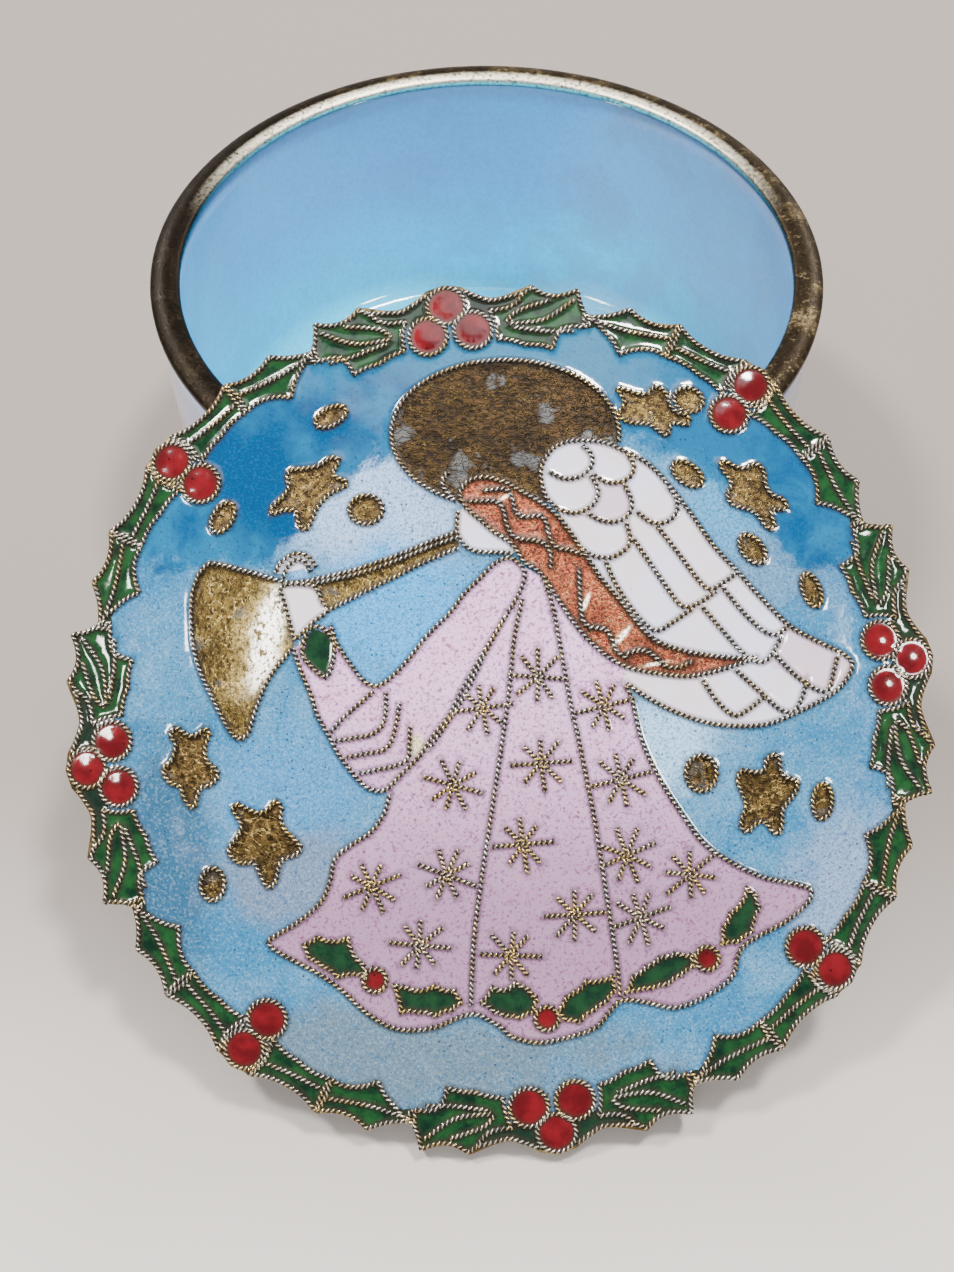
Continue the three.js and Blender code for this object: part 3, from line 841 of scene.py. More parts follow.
def field_enamel():
    """The sky: deep blue below the top of the wreath, clouding to paler blues lower down."""
    made, tree, shader, place = start("sky_enamel")
    cloud = clouds(tree, place, 6.0, 5.0, 0.62, twist=0.6)
    colour = mixed(tree, ramp(tree, cloud, 0.38, 0.62), (0.028, 0.190, 0.37), (0.090, 0.28, 0.46))
    for middle, radii, tone in SKY_PATCHES:
        colour = mixed(tree, patch(tree, place, middle, radii), colour, tone)
    milky = ramp(tree, cloud, 0.56, 0.74, 0.0, 0.35)
    colour = mixed(tree, milky, colour, (0.32, 0.42, 0.58))
    colour = mottled(tree, place, colour, (0.26, 2.0, 0.6, 0.50, 0.64, 0.22, (0.40, 0.60, 0.82)))
    _, uphill, _ = apart(tree, place)
    offset = node(
        tree, "ShaderNodeVectorMath", {0: place, 1: DEEP_MIDDLE}, operation="SUBTRACT",
    ).outputs["Vector"]
    reach = distance(tree, offset)
    top = ramp(tree, uphill, 0.0105, 0.0155)
    edge = ramp(tree, reach, 0.0246, 0.0286)
    wisp = swing(tree, clouds(tree, place, 2.6, 6.0, 0.75, twist=0.8), 0.5, 2.3)
    deep = ramp(tree, sums(tree, "ADD", sums(tree, "MULTIPLY", top, edge), wisp), 0.20, 0.74)
    blue = mixed(tree, ramp(tree, cloud, 0.36, 0.60), (0.001, 0.065, 0.185), (0.003, 0.145, 0.300))
    for middle, radii, turn, tone in DEEP_PATCHES:
        blue = mixed(tree, patch(tree, place, middle, radii, turn), blue, tone)
    colour = mixed(tree, deep, colour, blue)
    colour = mottled(
        tree, place, colour,
        (0.20, 2.0, 0.6, 0.46, 0.62, 0.50, (0.006, 0.10, 0.25)),
        (0.32, 3.0, 0.75, 0.56, 0.65, 0.6, (0.010, 0.060, 0.150)),
    )
    thick = ramp(tree, clouds(tree, place, 8.0, 2.0), 0.38, 0.60, 0.2, 0.9)
    colour = dotted(tree, place, colour, (0.50, 0.20, 0.45), thick, (0.012, 0.045, 0.10))
    return finished(made, tree, shader, place, colour)


def robe_cloth():
    """Pale lilac pink with magenta dots, duller towards the hem."""
    made, tree, shader, place = start("robe_enamel")
    _, uphill, _ = apart(tree, place)
    cloud = clouds(tree, place, 4.0, 4.0, 0.6)
    colour = mixed(tree, ramp(tree, cloud, 0.35, 0.65), (0.86, 0.54, 0.86), (0.82, 0.47, 0.75))
    ragged = sums(tree, "ADD", uphill, sums(tree, "MULTIPLY", cloud, 0.01))
    low = ramp(tree, ragged, 0.012, -0.014, 0.0, 0.85)
    colour = mixed(tree, low, colour, (0.28, 0.17, 0.25))
    colour = mixed(tree, patch(tree, place, (417, 745), (11, 14), 20), colour, (0.80, 0.74, 0.40))
    colour = mottled(
        tree, place, colour,
        (0.22, 2.0, 0.6, 0.50, 0.66, 0.45, (0.40, 0.14, 0.34)),
        (0.32, 3.0, 0.75, 0.53, 0.62, 0.8, (0.22, 0.065, 0.19)),
    )
    colour = dotted(tree, place, colour, (0.55, 0.22, 0.4), 0.7, (0.15, 0.030, 0.12))
    return finished(made, tree, shader, place, colour)


def gilt_cell(name, dark, mid, bright, stretch=(1, 1, 1), grain=0.35, grey=0.0, glossy=0.0, painted_highlights=None):
    """A coarse golden ground in a cell, brown in its hollows and bright on its creases, with painted
    highlights that glow where they are given.
    """
    made, tree, shader, place = start(name)
    fine = clouds(tree, place, grain, 3.0, 0.7, stretch)
    broad = clouds(tree, place, 3.0, 4.0, 0.6, stretch)
    offset = sums(tree, "SUBTRACT", clouds(tree, place, grain * 1.6, 2.0, 0.5, stretch), 0.5)
    crease = ramp(tree, sums(tree, "ABSOLUTE", offset, 0.0), 0.045, 0.0)
    colour = mixed(tree, ramp(tree, fine, 0.38, 0.60), dark, mid)
    colour = mixed(tree, ramp(tree, broad, 0.56, 0.40, 0.0, 0.55), colour, dark)
    shine = sums(tree, "MULTIPLY", crease, ramp(tree, broad, 0.36, 0.60, 0.15, 0.85))
    colour = mixed(tree, shine, colour, bright)
    if grey:
        colour = mottled(tree, place, colour, (2.6, 3.0, 0.5, 0.58, 0.66, grey, (0.10, 0.105, 0.11)))
    # Painted highlights: bright patches in a wider brightened ring, which also glow by emission.
    if painted_highlights:
        painted_glint = 0.0
        for middle, radii, turn in painted_highlights:
            highlight_surround = patch(tree, place, middle, (radii[0] * 1.7, radii[1] * 1.4), turn)
            highlight_surround = sums(tree, "MULTIPLY", highlight_surround, ramp(tree, fine, 0.36, 0.56, 0.2, 0.9))
            colour = mixed(tree, highlight_surround, colour, bright)
            painted_glint = sums(tree, "MAXIMUM", painted_glint, patch(tree, place, middle, radii, turn))
        painted_glint = sums(tree, "MULTIPLY", painted_glint, ramp(tree, fine, 0.40, 0.54, 0.0, 1.0))
        colour = mixed(tree, painted_glint, colour, (1.0, 0.98, 0.92))
        tree.links.new(mixed(tree, painted_glint, (0, 0, 0), (1.0, 0.96, 0.88)), shader.inputs["Emission Color"])
        shader.inputs["Emission Strength"].default_value = 2.8
    tree.links.new(shade_beside_wires(tree, colour, 0.7), shader.inputs["Base Color"])
    shader.inputs["Metallic"].default_value = 0.8
    shader.inputs["Roughness"].default_value = 0.42
    shader.inputs["Coat Weight"].default_value = glossy
    shader.inputs["Coat Roughness"].default_value = 0.06
    bumped(tree, shader, sums(tree, "ADD", fine, sums(tree, "MULTIPLY", crease, 0.6)), 0.09)
    return made


def wire_metal(name, silver, gold):
    """Gilt wire: bright on the strands, dark with patina in the groove between them and with painted shade
    down its sides.
    """
    made, tree, shader, place = start(name)
    groove_and_shade = node(tree, "ShaderNodeAttribute", attribute_name="groove_and_shade").outputs["Fac"]
    worn = ramp(tree, clouds(tree, place, 4.5, 3.0, 0.6), 0.42, 0.58)
    top = mixed(tree, worn, silver, gold)
    dull = swing(tree, clouds(tree, place, 0.9, 3.0), 0.42, 0.9)
    # Patina in the groove and painted shade down the sides darken the wire and make it less metallic and
    # rougher.
    patina_and_shade = ramp(tree, sums(tree, "ADD", groove_and_shade, dull), 0.16, 0.66)
    tree.links.new(mixed(tree, patina_and_shade, top, (0.018, 0.012, 0.008)), shader.inputs["Base Color"])
    tree.links.new(ramp(tree, patina_and_shade, 0.0, 1.0, 0.95, 0.3), shader.inputs["Metallic"])
    tree.links.new(ramp(tree, patina_and_shade, 0.0, 1.0, 0.24, 0.60), shader.inputs["Roughness"])
    return made


def old_brass(name, bright, brown, rubbed, painted_shade_left=0.0, painted_sheen_inside=None):
    """Brass with a brown patina, mottled and scratched, bright where it is rubbed. It can be given painted
    shade towards its left and a painted highlight along its inner edge at the back.
    """
    made, tree, shader, place = start(name)
    across, ahead, _ = apart(tree, place)
    broad = clouds(tree, place, 5.0, 4.0, 0.65)
    fine = clouds(tree, place, 0.40, 4.0, 0.7)
    colour = mixed(tree, ramp(tree, broad, 0.46, 0.66), brown, bright)
    rub = ramp(tree, sums(tree, "ADD", fine, sums(tree, "MULTIPLY", broad, 0.5)), 0.80, 0.92, 0.0, 0.5)
    colour = mixed(tree, rub, colour, rubbed)
    colour = mottled(tree, place, colour, (1.3, 3.0, 0.5, 0.54, 0.66, 0.8, (0.018, 0.012, 0.007)))
    # Painted shade: darker towards the left.
    if painted_shade_left:
        shade = ramp(tree, across, -0.006, -0.026, 0.0, painted_shade_left)
        colour = mixed(tree, shade, colour, (0.012, 0.008, 0.005))
    # Painted highlight: a bright band along the inner edge, at the back only.
    if painted_sheen_inside:
        flat = node(
            tree, "ShaderNodeVectorMath", {0: place, 1: (1, 1, 0)}, operation="MULTIPLY",
        ).outputs["Vector"]
        reach = distance(tree, flat)
        sheen_band = ramp(tree, reach, painted_sheen_inside + 0.0004, painted_sheen_inside - 0.0002)
        sheen_band = sums(tree, "MULTIPLY", sheen_band, ramp(tree, ahead, 0.006, 0.024))
        sheen_band = sums(tree, "MULTIPLY", sheen_band, ramp(tree, fine, 0.34, 0.52, 0.25, 1.0))
        colour = mixed(tree, sheen_band, colour, (0.80, 0.73, 0.56))
    tree.links.new(colour, shader.inputs["Base Color"])
    shader.inputs["Metallic"].default_value = 0.75
    shader.inputs["Specular IOR Level"].default_value = 0.2
    tree.links.new(ramp(tree, fine, 0.3, 0.7, 0.26, 0.50), shader.inputs["Roughness"])
    bumped(tree, shader, fine, 0.03)
    return made


sky = field_enamel()
halo_gold = gilt_cell(
    "halo_gold", (0.007, 0.004, 0.002), (0.050, 0.027, 0.008), (0.10, 0.065, 0.021),
    (0.75, 1.3, 1), 0.45, grey=0.6,
)
white_enamel = enamel(
    "wing_enamel", (0.76, 0.76, 0.95), (0.82, 0.71, 0.76), 5.0, (0.10, 0.07, 0.08), (1.6, 0.14, 0.5), 0.7,
)
pink_enamel = enamel(
    "pink_feather_enamel", (0.74, 0.54, 0.62), (0.66, 0.56, 0.68), 4.0,
    (0.12, 0.07, 0.08), (1.8, 0.14, 0.5), 0.7,
)
robe_enamel = robe_cloth()
copper_hair = gilt_cell(
    "hair_enamel", (0.060, 0.010, 0.007), (0.56, 0.125, 0.050), (0.92, 0.50, 0.25), (1, 1, 1), 0.26,
    glossy=0.8,
    # Painted highlights: thin glints along the locks of hair.
    painted_highlights=[
        ((586, 602), (2.0, 9), -22),
        ((621, 637), (2.5, 12), -42),
        ((655, 664), (11, 2.2), 10),
        ((505, 497), (6, 2.2), 30),
    ],
)
trumpet_gold = gilt_cell(
    "trumpet_gold", (0.028, 0.016, 0.004), (0.19, 0.125, 0.030), (0.72, 0.54, 0.20),
    # Painted highlight on the right of the trumpet's bell.
    (1.3, 0.8, 1), 0.42, grey=0.55, painted_highlights=[((267, 640), (17, 50), -14)],
)
star_gold = gilt_cell(
    "star_gold", (0.020, 0.011, 0.003), (0.15, 0.092, 0.026), (0.44, 0.31, 0.11), (1, 1, 1), 0.5, grey=0.4,
)
leaf_green = enamel(
    "leaf_enamel", (0.009, 0.066, 0.016), (0.001, 0.016, 0.007), 1.8,
    (0.05, 0.20, 0.06), (0.8, 0.12, 0.3), 0.5,
)
dark_green = enamel("stem_enamel", (0.008, 0.030, 0.014), (0.004, 0.012, 0.008))
hem_green = enamel("hem_leaf_enamel", (0.009, 0.046, 0.016), (0.003, 0.020, 0.010), 1.6)
berry_red = enamel(
    "berry_enamel", (0.17, 0.006, 0.010), (0.085, 0.003, 0.005), 2.2,
    (0.010, 0.002, 0.002), (0.75, 0.20, 0.4), 0.9,
)
wire_gilt = wire_metal("wreath_wire_metal", (0.95, 0.89, 0.74), (0.90, 0.66, 0.28))
wire_silver = wire_metal("figure_wire_metal", (0.93, 0.90, 0.85), (0.88, 0.66, 0.32))
wire_gold = wire_metal("small_wire_metal", (0.96, 0.80, 0.50), (0.96, 0.68, 0.20))
plate_gilt = old_brass("lid_plate_metal", (0.40, 0.29, 0.12), (0.16, 0.10, 0.04), (0.60, 0.44, 0.18))

SKY, HALO, WHITE, PINK, ROBE, COPPER, TRUMPET, STARRY, LEAF, STEM, HEM, BERRY = range(12)
enamels = [
    sky, halo_gold, white_enamel, pink_enamel, robe_enamel, copper_hair, trumpet_gold, star_gold,
    leaf_green, dark_green, hem_green, berry_red,
]
# The cells, each over those before it
face_area = FACE + [(518, 552), (495, 532), (466, 508)]
hair_area = HAIR_TOP + HAIR_BOTTOM[::-1]
areas = [(halo_area, HALO), (seen(WING), WHITE)]
areas += [(seen(cell), PINK) for cell in PINK_FEATHERS]
areas += [(seen(cell), ROBE) for cell in (robe_area, arm_area)]
areas += [(seen(cell), TRUMPET) for cell in (bell, tube)]
areas += [(seen(cell), WHITE) for cell in (HAND, THUMBS[0], face_area)]
areas += [(seen(hair_area), COPPER), (seen(CUFF), HEM)]
areas += [(shape, HEM) for shape in hem_leaves]
areas += [(shape, BERRY) for shape in hem_berries]
areas += [(shape, STARRY) for shape in stars + dots]
areas += [(shape, LEAF) for shape in leaf_outlines]
areas += [(circle(berry, berry_radius), BERRY) for berry in berries]


# The lid's enamels: one face on the dome, with an edge under every wire

GRID = 0.52
SIDE_ROWS = (0.30, 0.52)
GRID_CLEAR = 0.5
SIDE_SLACK = 0.05
OUTLINE_STEP = 0.2
WIRE_SKIP = 3
FIELD_REACH = 399 * WREATH_UNIT
WAVE_HIGH = 0.03
WAVE_RATE = 0.4
MENISCUS = 0.12
EDGE_REACH = 0.50
EDGE_SOFT = 0.2
MENISCUS_REACH = 0.30
BERRY_DOME = 0.24


def enamel_face():
    """The enamel's points and faces, each face's cell, and how near each point is to a wire."""
    all_wires = wreath_wires + figure_wires + small_wires
    edge = np.stack([outline * np.cos(outline_turns), outline * np.sin(outline_turns)], 1)
    points, edges, total = [], [], 0
    for line, closed in all_wires + [(even(edge, OUTLINE_STEP, True), True)]:
        line = line[::WIRE_SKIP] if closed else np.vstack([line[:-1:WIRE_SKIP], line[-1:]])
        count = len(line)
        points.append(line)
        last = count if closed else count - 1
        edges += [(total + i, total + (i + 1) % count) for i in range(last)]
        total += count
    sides = []
    for line, closed in all_wires:
        line = line[::WIRE_SKIP]
        along = np.roll(line, -1, 0) - np.roll(line, 1, 0) if closed else np.gradient(line, axis=0)
        along /= np.linalg.norm(along, axis=1)[:, None] + 1e-9
        across = np.stack([-along[:, 1], along[:, 0]], 1)
        for row in SIDE_ROWS:
            sides += [line + across * row, line - across * row]
    steps = np.arange(-LID_RADIUS, LID_RADIUS, GRID)
    grid = np.stack(np.meshgrid(steps, steps), -1).reshape(-1, 2)
    wire_points = np.vstack([line for line, _ in all_wires])
    tree = kdtree.KDTree(len(wire_points))
    for i, (x, y) in enumerate(wire_points):
        tree.insert((x, y, 0), i)
    tree.balance()
    kept = []
    for group, clear in ((np.vstack(sides), SIDE_ROWS[0] - SIDE_SLACK), (grid, GRID_CLEAR)):
        for x, y in group:
            if tree.find((x, y, 0))[2] > clear:
                kept.append((x, y))
    kept = np.array(kept)
    loose = kept[np.hypot(*kept.T) < LID_RADIUS + 1]
    points = np.vstack(points + [loose])
    made = delaunay_2d_cdt([Vector(p) for p in points.tolist()], edges, [], 0, 1e-4, False)
    flat = np.array([tuple(v) for v in made[0]])
    faces = np.array([f for f in made[2] if len(f) == 3])
    middle = flat[faces].mean(1)
    turn = np.arctan2(middle[:, 1], middle[:, 0])
    slot = ((turn + math.pi) / (2 * math.pi) * OUTLINE_COUNT).astype(int) % OUTLINE_COUNT
    keep = np.hypot(middle[:, 0], middle[:, 1]) < outline[slot]
    faces, middle = faces[keep], middle[keep]
    kinds = np.where(np.hypot(middle[:, 0], middle[:, 1]) > FIELD_REACH, STEM, SKY)
    for shape, kind in areas:
        kinds[inside(middle, shape)] = kind
    used, faces = np.unique(faces, return_inverse=True)
    faces = faces.reshape(-1, 3)
    flat = flat[used]
    far = np.array([tree.find((x, y, 0))[2] for x, y in flat])
    height = face_height(np.hypot(flat[:, 0], flat[:, 1]))
    height = height + MENISCUS * np.exp(-((far / MENISCUS_REACH) ** 2))
    for berry in berries:
        reach = np.hypot(flat[:, 0] - berry[0], flat[:, 1] - berry[1]) / berry_radius
        near = reach < 1
        height[near] += BERRY_DOME * (1 - reach[near] ** 2)
    waves = [noise.noise(Vector((x * WAVE_RATE, y * WAVE_RATE, 3))) for x, y in flat]
    height += WAVE_HIGH * np.array(waves)
    return np.column_stack([flat, height]), faces, kinds, np.clip((EDGE_REACH - far) / EDGE_SOFT, 0, 1)


# The nearness to a wire carries the painted shade where the enamel meets each wire.
vertices, faces, kinds, wire_foot_shade = enamel_face()
lid_enamel = add_mesh("lid_enamel", vertices, faces, enamels, kinds, groove_and_shade=wire_foot_shade)
lid_wires("lid_wreath_wires", wreath_wires, wire_gilt)
lid_wires("lid_figure_wires", figure_wires, wire_silver)
lid_wires("lid_small_wires", small_wires, wire_gold)


# The lid's copper plate: its scalloped edge, its underside and its hollow

EDGE_LIP = 0.32
EDGE_SINK = 0.25
EDGE_TUCK = 0.7
EDGE_ROUNDS = 6
CORNER = 0.2
MOUTH_CORNER = 0.3
BACK_TUCK = 1.5
BACK_SINK = 0.6
FACE_BACKING = 0.8
HOLLOW_SHARES = (0.9, 0.75, 0.5, 0.25, 0.02)
BACK_SHARES = (0.02, 0.5)
HOLLOW_RING = 7
MIDDLE_RING = 12


def lid_plate():
    """The plate, ring by ring from its edge inwards and back: points, faces and their sides."""
    def level(value):
        return np.full(OUTLINE_COUNT, value)

    def hollow(radius):
        return float(face_height(radius)) - PLATE_THICK

    smooth_edge = outline.copy()
    for _ in range(EDGE_ROUNDS):
        smooth_edge = (np.roll(smooth_edge, 1) + 2 * smooth_edge + np.roll(smooth_edge, -1)) / 4
    smooth_edge = np.maximum(smooth_edge, outline)
    face = face_height(smooth_edge)
    rings = [
        (smooth_edge - EDGE_TUCK, face - EDGE_SINK),
        (smooth_edge + EDGE_LIP * 0.8, face - 0.12),
        (smooth_edge + EDGE_LIP, face - EDGE_SINK),
        (smooth_edge + EDGE_LIP, level(EDGE_SINK)),
        (smooth_edge + (EDGE_LIP - CORNER), level(0.0)),
        (level(hollow_radius + MOUTH_CORNER), level(0.0)),
        (level(hollow_radius), level(CORNER)),
        (level(hollow_radius), level(hollow(hollow_radius))),
    ]
    for radius in [hollow_radius * share for share in HOLLOW_SHARES]:
        rings.append((level(radius), level(hollow(radius))))
    for radius in [hollow_radius * share for share in BACK_SHARES]:
        rings.append((level(radius), level(hollow(radius) + FACE_BACKING)))
    rings.append((outline - BACK_TUCK, face_height(outline) - BACK_SINK))
    points = [np.stack([r * np.cos(outline_turns), r * np.sin(outline_turns), z], 1) for r, z in rings]
    quads, kinds = [], []
    total = len(rings)
    for i in range(total):
        nxt = (i + 1) % total
        if i == MIDDLE_RING:
            below, above = i * OUTLINE_COUNT, nxt * OUTLINE_COUNT
            quads += [list(range(below, above))[::-1], list(range(above, above + OUTLINE_COUNT))]
            kinds += [1, 0]
            continue
        a, b = i * OUTLINE_COUNT, nxt * OUTLINE_COUNT
        for j in range(OUTLINE_COUNT):
            k = (j + 1) % OUTLINE_COUNT
            quads.append((a + k, a + j, b + j, b + k))
            kinds.append(1 if HOLLOW_RING <= i < MIDDLE_RING else 0)
    return np.vstack(points), quads, kinds


OVERLAP = 0.02
BEVEL = 0.15
COLLAR_SIDES = 192

counter_enamel = enamel("counter_enamel", (0.06, 0.38, 0.75), (0.14, 0.36, 0.62), 6.0, (0.03, 0.10, 0.24))
vertices, faces, kinds = lid_plate()
add_mesh("lid_copper_plate", vertices, faces, [plate_gilt, counter_enamel], kinds)
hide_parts("lid_plate")

collar_metal = old_brass("collar_metal", (0.45, 0.33, 0.14), (0.18, 0.11, 0.04), (0.70, 0.52, 0.22))
low = -SOLDER_GAP - COLLAR_DEPTH
profile = [
    (hollow_radius, OVERLAP), (hollow_radius, low + BEVEL), (hollow_radius + BEVEL, low),
    (collar_radius - BEVEL, low), (collar_radius, low + BEVEL), (collar_radius, OVERLAP),
]
vertices, faces, _ = turned(profile, COLLAR_SIDES)
collar = add_mesh("lid_collar_ring", vertices, faces, [collar_metal], smooth=False)
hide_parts("lid_collar")


# The base

CUP_SIDES = 192
RING_SIDES = 256
CAP_RADIUS = 0.4


def base_cup():
    """The cup, flat in the middle of its floor and underside: points, faces and their sides."""
    top = BOX_HEIGHT - RING_THICK + OVERLAP
    inner = wall_radius - WALL
    outer_side = [(CAP_RADIUS, 0.0)] + arc(wall_radius - FOOT_ROUND, FOOT_ROUND, FOOT_ROUND, -90, 0, 10)
    outer_side += [(wall_radius, z) for z in np.linspace(FOOT_ROUND + 2, top, 10)]
    inner_side = [(inner, z) for z in np.linspace(top, FLOOR + INNER_ROUND + 2, 10)]
    inner_side += arc(inner - INNER_ROUND, FLOOR + INNER_ROUND, INNER_ROUND, 0, -90, 12)
    inner_side += [(CAP_RADIUS, FLOOR)]
    vertices, faces, rows = turned(outer_side + inner_side, CUP_SIDES)
    kinds = [0 if row < len(outer_side) else 1 for row in rows]
    last = len(vertices) - CUP_SIDES
    faces = faces[:-CUP_SIDES] + [list(range(CUP_SIDES))[::-1], list(range(last, last + CUP_SIDES))]
    kinds = kinds[:-CUP_SIDES] + [0, 1]
    return vertices, faces, kinds


def cup_lining():
    """The inside of the cup: sky blue with faint lilac clouds, darker towards its right, and with painted
    light making it brighter towards the floor.
    """
    made, tree, shader, place = start("inner_wall_enamel")
    across, _, height = apart(tree, place)
    cloud = clouds(tree, place, 9.0, 4.0, 0.6)
    # Painted light: brighter and bluer towards the floor.
    colour = mixed(tree, ramp(tree, height, 0.005, 0.020), (0.01, 0.72, 1.0), (0.20, 0.49, 0.84))
    lilac = ramp(tree, cloud, 0.42, 0.62)
    lilac = sums(tree, "MULTIPLY", lilac, ramp(tree, across, -0.020, 0.020, 0.15, 0.55))
    colour = mixed(tree, lilac, colour, (0.30, 0.36, 0.52))
    side = ramp(tree, across, 0.012, 0.030, 0.0, 0.6)
    colour = mixed(tree, side, colour, (0.22, 0.26, 0.38))
    colour = mottled(tree, place, colour, (0.5, 3.0, 0.6, 0.42, 0.66, 0.16, (0.02, 0.20, 0.46)))
    return finished(made, tree, shader, place, colour, 0.012)


outer_enamel = enamel(
    "outer_wall_enamel", (0.48, 0.55, 0.78), (0.56, 0.56, 0.74), 7.0,
    (0.08, 0.12, 0.24), (0.8, 0.14, 0.5), 0.5,
)
inner_enamel = cup_lining()
vertices, faces, kinds = base_cup()
cup = add_mesh(
    "cup_enamel", vertices, faces, [outer_enamel, inner_enamel], kinds, on_lid=False,
)
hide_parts("base_cup")

# The rim gets painted shade on its left and a painted highlight on its inner edge at the back.
ring_metal = old_brass(
    "rim_metal", (0.085, 0.058, 0.026), (0.030, 0.020, 0.010), (0.42, 0.32, 0.17),
    painted_shade_left=0.9, painted_sheen_inside=(mouth_radius + 0.30 * RING_WIDTH) * MM,
)
CROWN_DROP = 0.42
SHOULDER_DROP = 0.5
low = BOX_HEIGHT - RING_THICK
shoulder = BOX_HEIGHT - SHOULDER_DROP
profile = [(mouth_radius, low), (mouth_radius, shoulder)]
for t in np.linspace(0.04, 0.96, 13):
    profile.append((mouth_radius + RING_WIDTH * t, BOX_HEIGHT - CROWN_DROP * (2 * t - 1) ** 2))
profile += [(ring_radius, shoulder), (ring_radius, low)]
vertices, faces, _ = turned(profile[::-1], RING_SIDES)
rim = add_mesh("rim_ring", vertices, faces, [ring_metal], on_lid=False)
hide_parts("mouth_ring")

WALL_STARS = 8
WALL_STAR_TIP = 2.6
WALL_STAR_WAIST = 1.3
WALL_DOT = 0.8
WALL_DOT_PLACES = ((0.36, 24), (0.62, 9))
PAD_FOOT = -0.05
PAD_EDGE = 0.06
PAD_TOP = 0.08


def wall_outlines():
    """Stars and two dots between each pair of them, on the wall laid out flat."""
    shapes = []
    for i in range(WALL_STARS):
        middle = (i + 0.5) / WALL_STARS * 2 * math.pi * wall_radius
        one = star((middle, BOX_HEIGHT / 2), 180, WALL_STAR_TIP, WALL_STAR_WAIST)
        shapes.append(even(one, closed=True))
        for along, up in WALL_DOT_PLACES:
            spot = (middle + along * 2 * math.pi * wall_radius / WALL_STARS, up)
            shapes.append(circle(spot, WALL_DOT))
    return shapes


def on_wall(flat, out):
    """Places round the wall of points of the wall laid out flat, raised by so much."""
    turn = flat[:, 0] / wall_radius
    reach = wall_radius + out
    return np.stack([reach * np.cos(turn), reach * np.sin(turn), flat[:, 1]], 1)


def gold_pads(outlines):
    """A low closed pad inside each outline: two rings at its edge, one half way in, and its two middles."""
    points, faces, base = [], [], 0
    for line in outlines:
        middle = line.mean(0)
        for share, out in ((1, PAD_FOOT), (1, PAD_EDGE), (0.5, PAD_TOP)):
            points.append(on_wall(middle + (line - middle) * share, out))
        points += [on_wall(middle[None], PAD_TOP), on_wall(middle[None], PAD_FOOT)]
        count = len(line)
        for j in range(count):
            k = (j + 1) % count
            for row in range(2):
                a = base + row * count
                faces.append((a + j, a + k, a + count + k, a + count + j))
            faces.append((base + 2 * count + j, base + 2 * count + k, base + 3 * count))
            faces.append((base + k, base + j, base + 3 * count + 1))
        base += 3 * count + 2
    return np.vstack(points), faces


outlines = wall_outlines()
wall_lines = []
for line in outlines:
    turn = line[:, 0] / wall_radius
    outward = np.stack([np.cos(turn), np.sin(turn), np.zeros(len(line))], 1)
    wall_lines.append((on_wall(line, WIRE_SEAT), outward, True))
add_wires("wall_wires", wall_lines, wire_gilt, on_lid=False)
vertices, faces = gold_pads(outlines)
add_mesh("wall_gold_cells", vertices, faces, [star_gold], on_lid=False)


# The stage: a pale surface, soft light and the camera

def table_material():
    """Pale paper, with painted shade that makes it dimmer behind the box."""
    made, tree, shader, place = start("floor_paper")
    _, ahead, _ = apart(tree, place)
    soft = ramp(tree, clouds(tree, place, 30.0, 3.0), 0.35, 0.65, 0.0, 0.35)
    front = mixed(tree, soft, (0.62, 0.57, 0.53), (0.58, 0.53, 0.49))
    # Painted shade: dimmer behind the box than in front of it.
    colour = mixed(tree, ramp(tree, ahead, -0.035, -0.105), (0.265, 0.225, 0.20), front)
    tree.links.new(colour, shader.inputs["Base Color"])
    shader.inputs["Roughness"].default_value = 0.85
    return made


FLOOR_SIZE = 3.0
FLOOR_DROP = 0.0002
bpy.ops.mesh.primitive_plane_add(size=FLOOR_SIZE, location=(0, 0, -FLOOR_DROP))
floor = bpy.context.object
floor.name = "floor"
floor.data.materials.append(table_material())


LIGHTS_AIM = Vector((0, -0.03, 0.02))


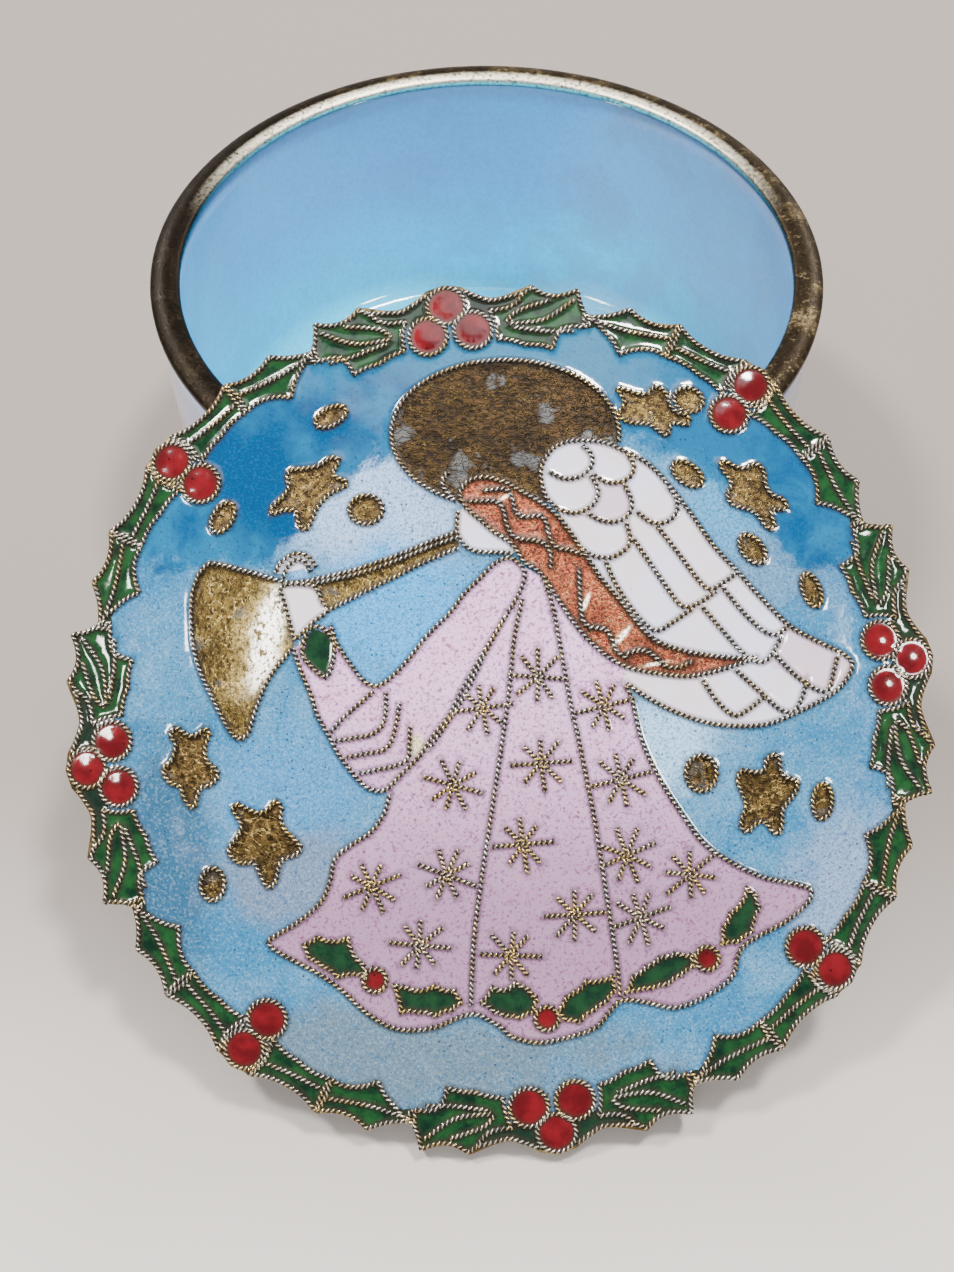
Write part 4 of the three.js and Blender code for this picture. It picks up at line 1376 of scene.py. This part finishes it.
def soft_light(name, place, power, size, colour, mirrored=True, lights=True):
    """A round soft light, which may be kept out of reflections or serve for reflections alone."""
    data = bpy.data.lights.new(name, "AREA")
    data.energy = power
    data.shape = "ELLIPSE"
    data.size, data.size_y = size
    data.color = colour
    lamp = bpy.data.objects.new(name, data)
    bpy.context.scene.collection.objects.link(lamp)
    lamp.visible_glossy = mirrored
    lamp.visible_diffuse = lights
    lamp.location = place
    lamp.rotation_euler = (LIGHTS_AIM - Vector(place)).to_track_quat("-Z", "Y").to_euler()


soft_light("ceiling_left", (-0.36, 0.06, 0.70), 6.5, (0.12, 0.12), (1.0, 0.98, 0.95))
soft_light("ceiling_right", (0.20, 0.06, 0.76), 7.5, (0.12, 0.12), (1.0, 0.99, 0.97))
soft_light("window_back", (0.05, 0.60, 0.42), 5.0, (0.30, 0.20), (1.0, 0.99, 0.97), False)
soft_light("front_fill", (-0.05, -0.50, 0.60), 3.5, (0.50, 0.30), (1.0, 1.0, 1.0), False)
GLINTS = [
    ((-0.46, -0.34, 0.60), 2.4), ((0.46, -0.34, 0.60), 2.4),
    ((-0.32, 0.45, 0.40), 1.1), ((0.32, 0.45, 0.40), 1.1),
]
for i, (place, power) in enumerate(GLINTS):
    soft_light("glint_" + str(i), place, power, (0.11, 0.11), (1.0, 0.97, 0.92), lights=False)

# Surroundings: dim at the sides and bright overhead
world = bpy.data.worlds.new("soft_room")
world.use_nodes = True
tree = world.node_tree
_, _, upward = apart(tree, node(tree, "ShaderNodeTexCoord").outputs["Generated"])
room = mixed(tree, ramp(tree, upward, 0.955, 0.985), (0.24, 0.25, 0.27), (3.0, 3.0, 3.0))
tree.links.new(room, tree.nodes["Background"].inputs["Color"])
tree.nodes["Background"].inputs["Strength"].default_value = 1.0
bpy.context.scene.world = world

SENSOR = 36.0
camera_data = bpy.data.cameras.new("camera")
camera_data.sensor_width = SENSOR
camera_data.lens = SENSOR * FOCAL / VIEW_HIGH
camera_data.clip_start = 0.005
camera = bpy.data.objects.new("camera", camera_data)
bpy.context.scene.collection.objects.link(camera)
camera.location = Vector(EYE * MM)
camera.rotation_euler = (math.pi / 2 - EYE_DOWN, 0, 0)
bpy.context.scene.camera = camera
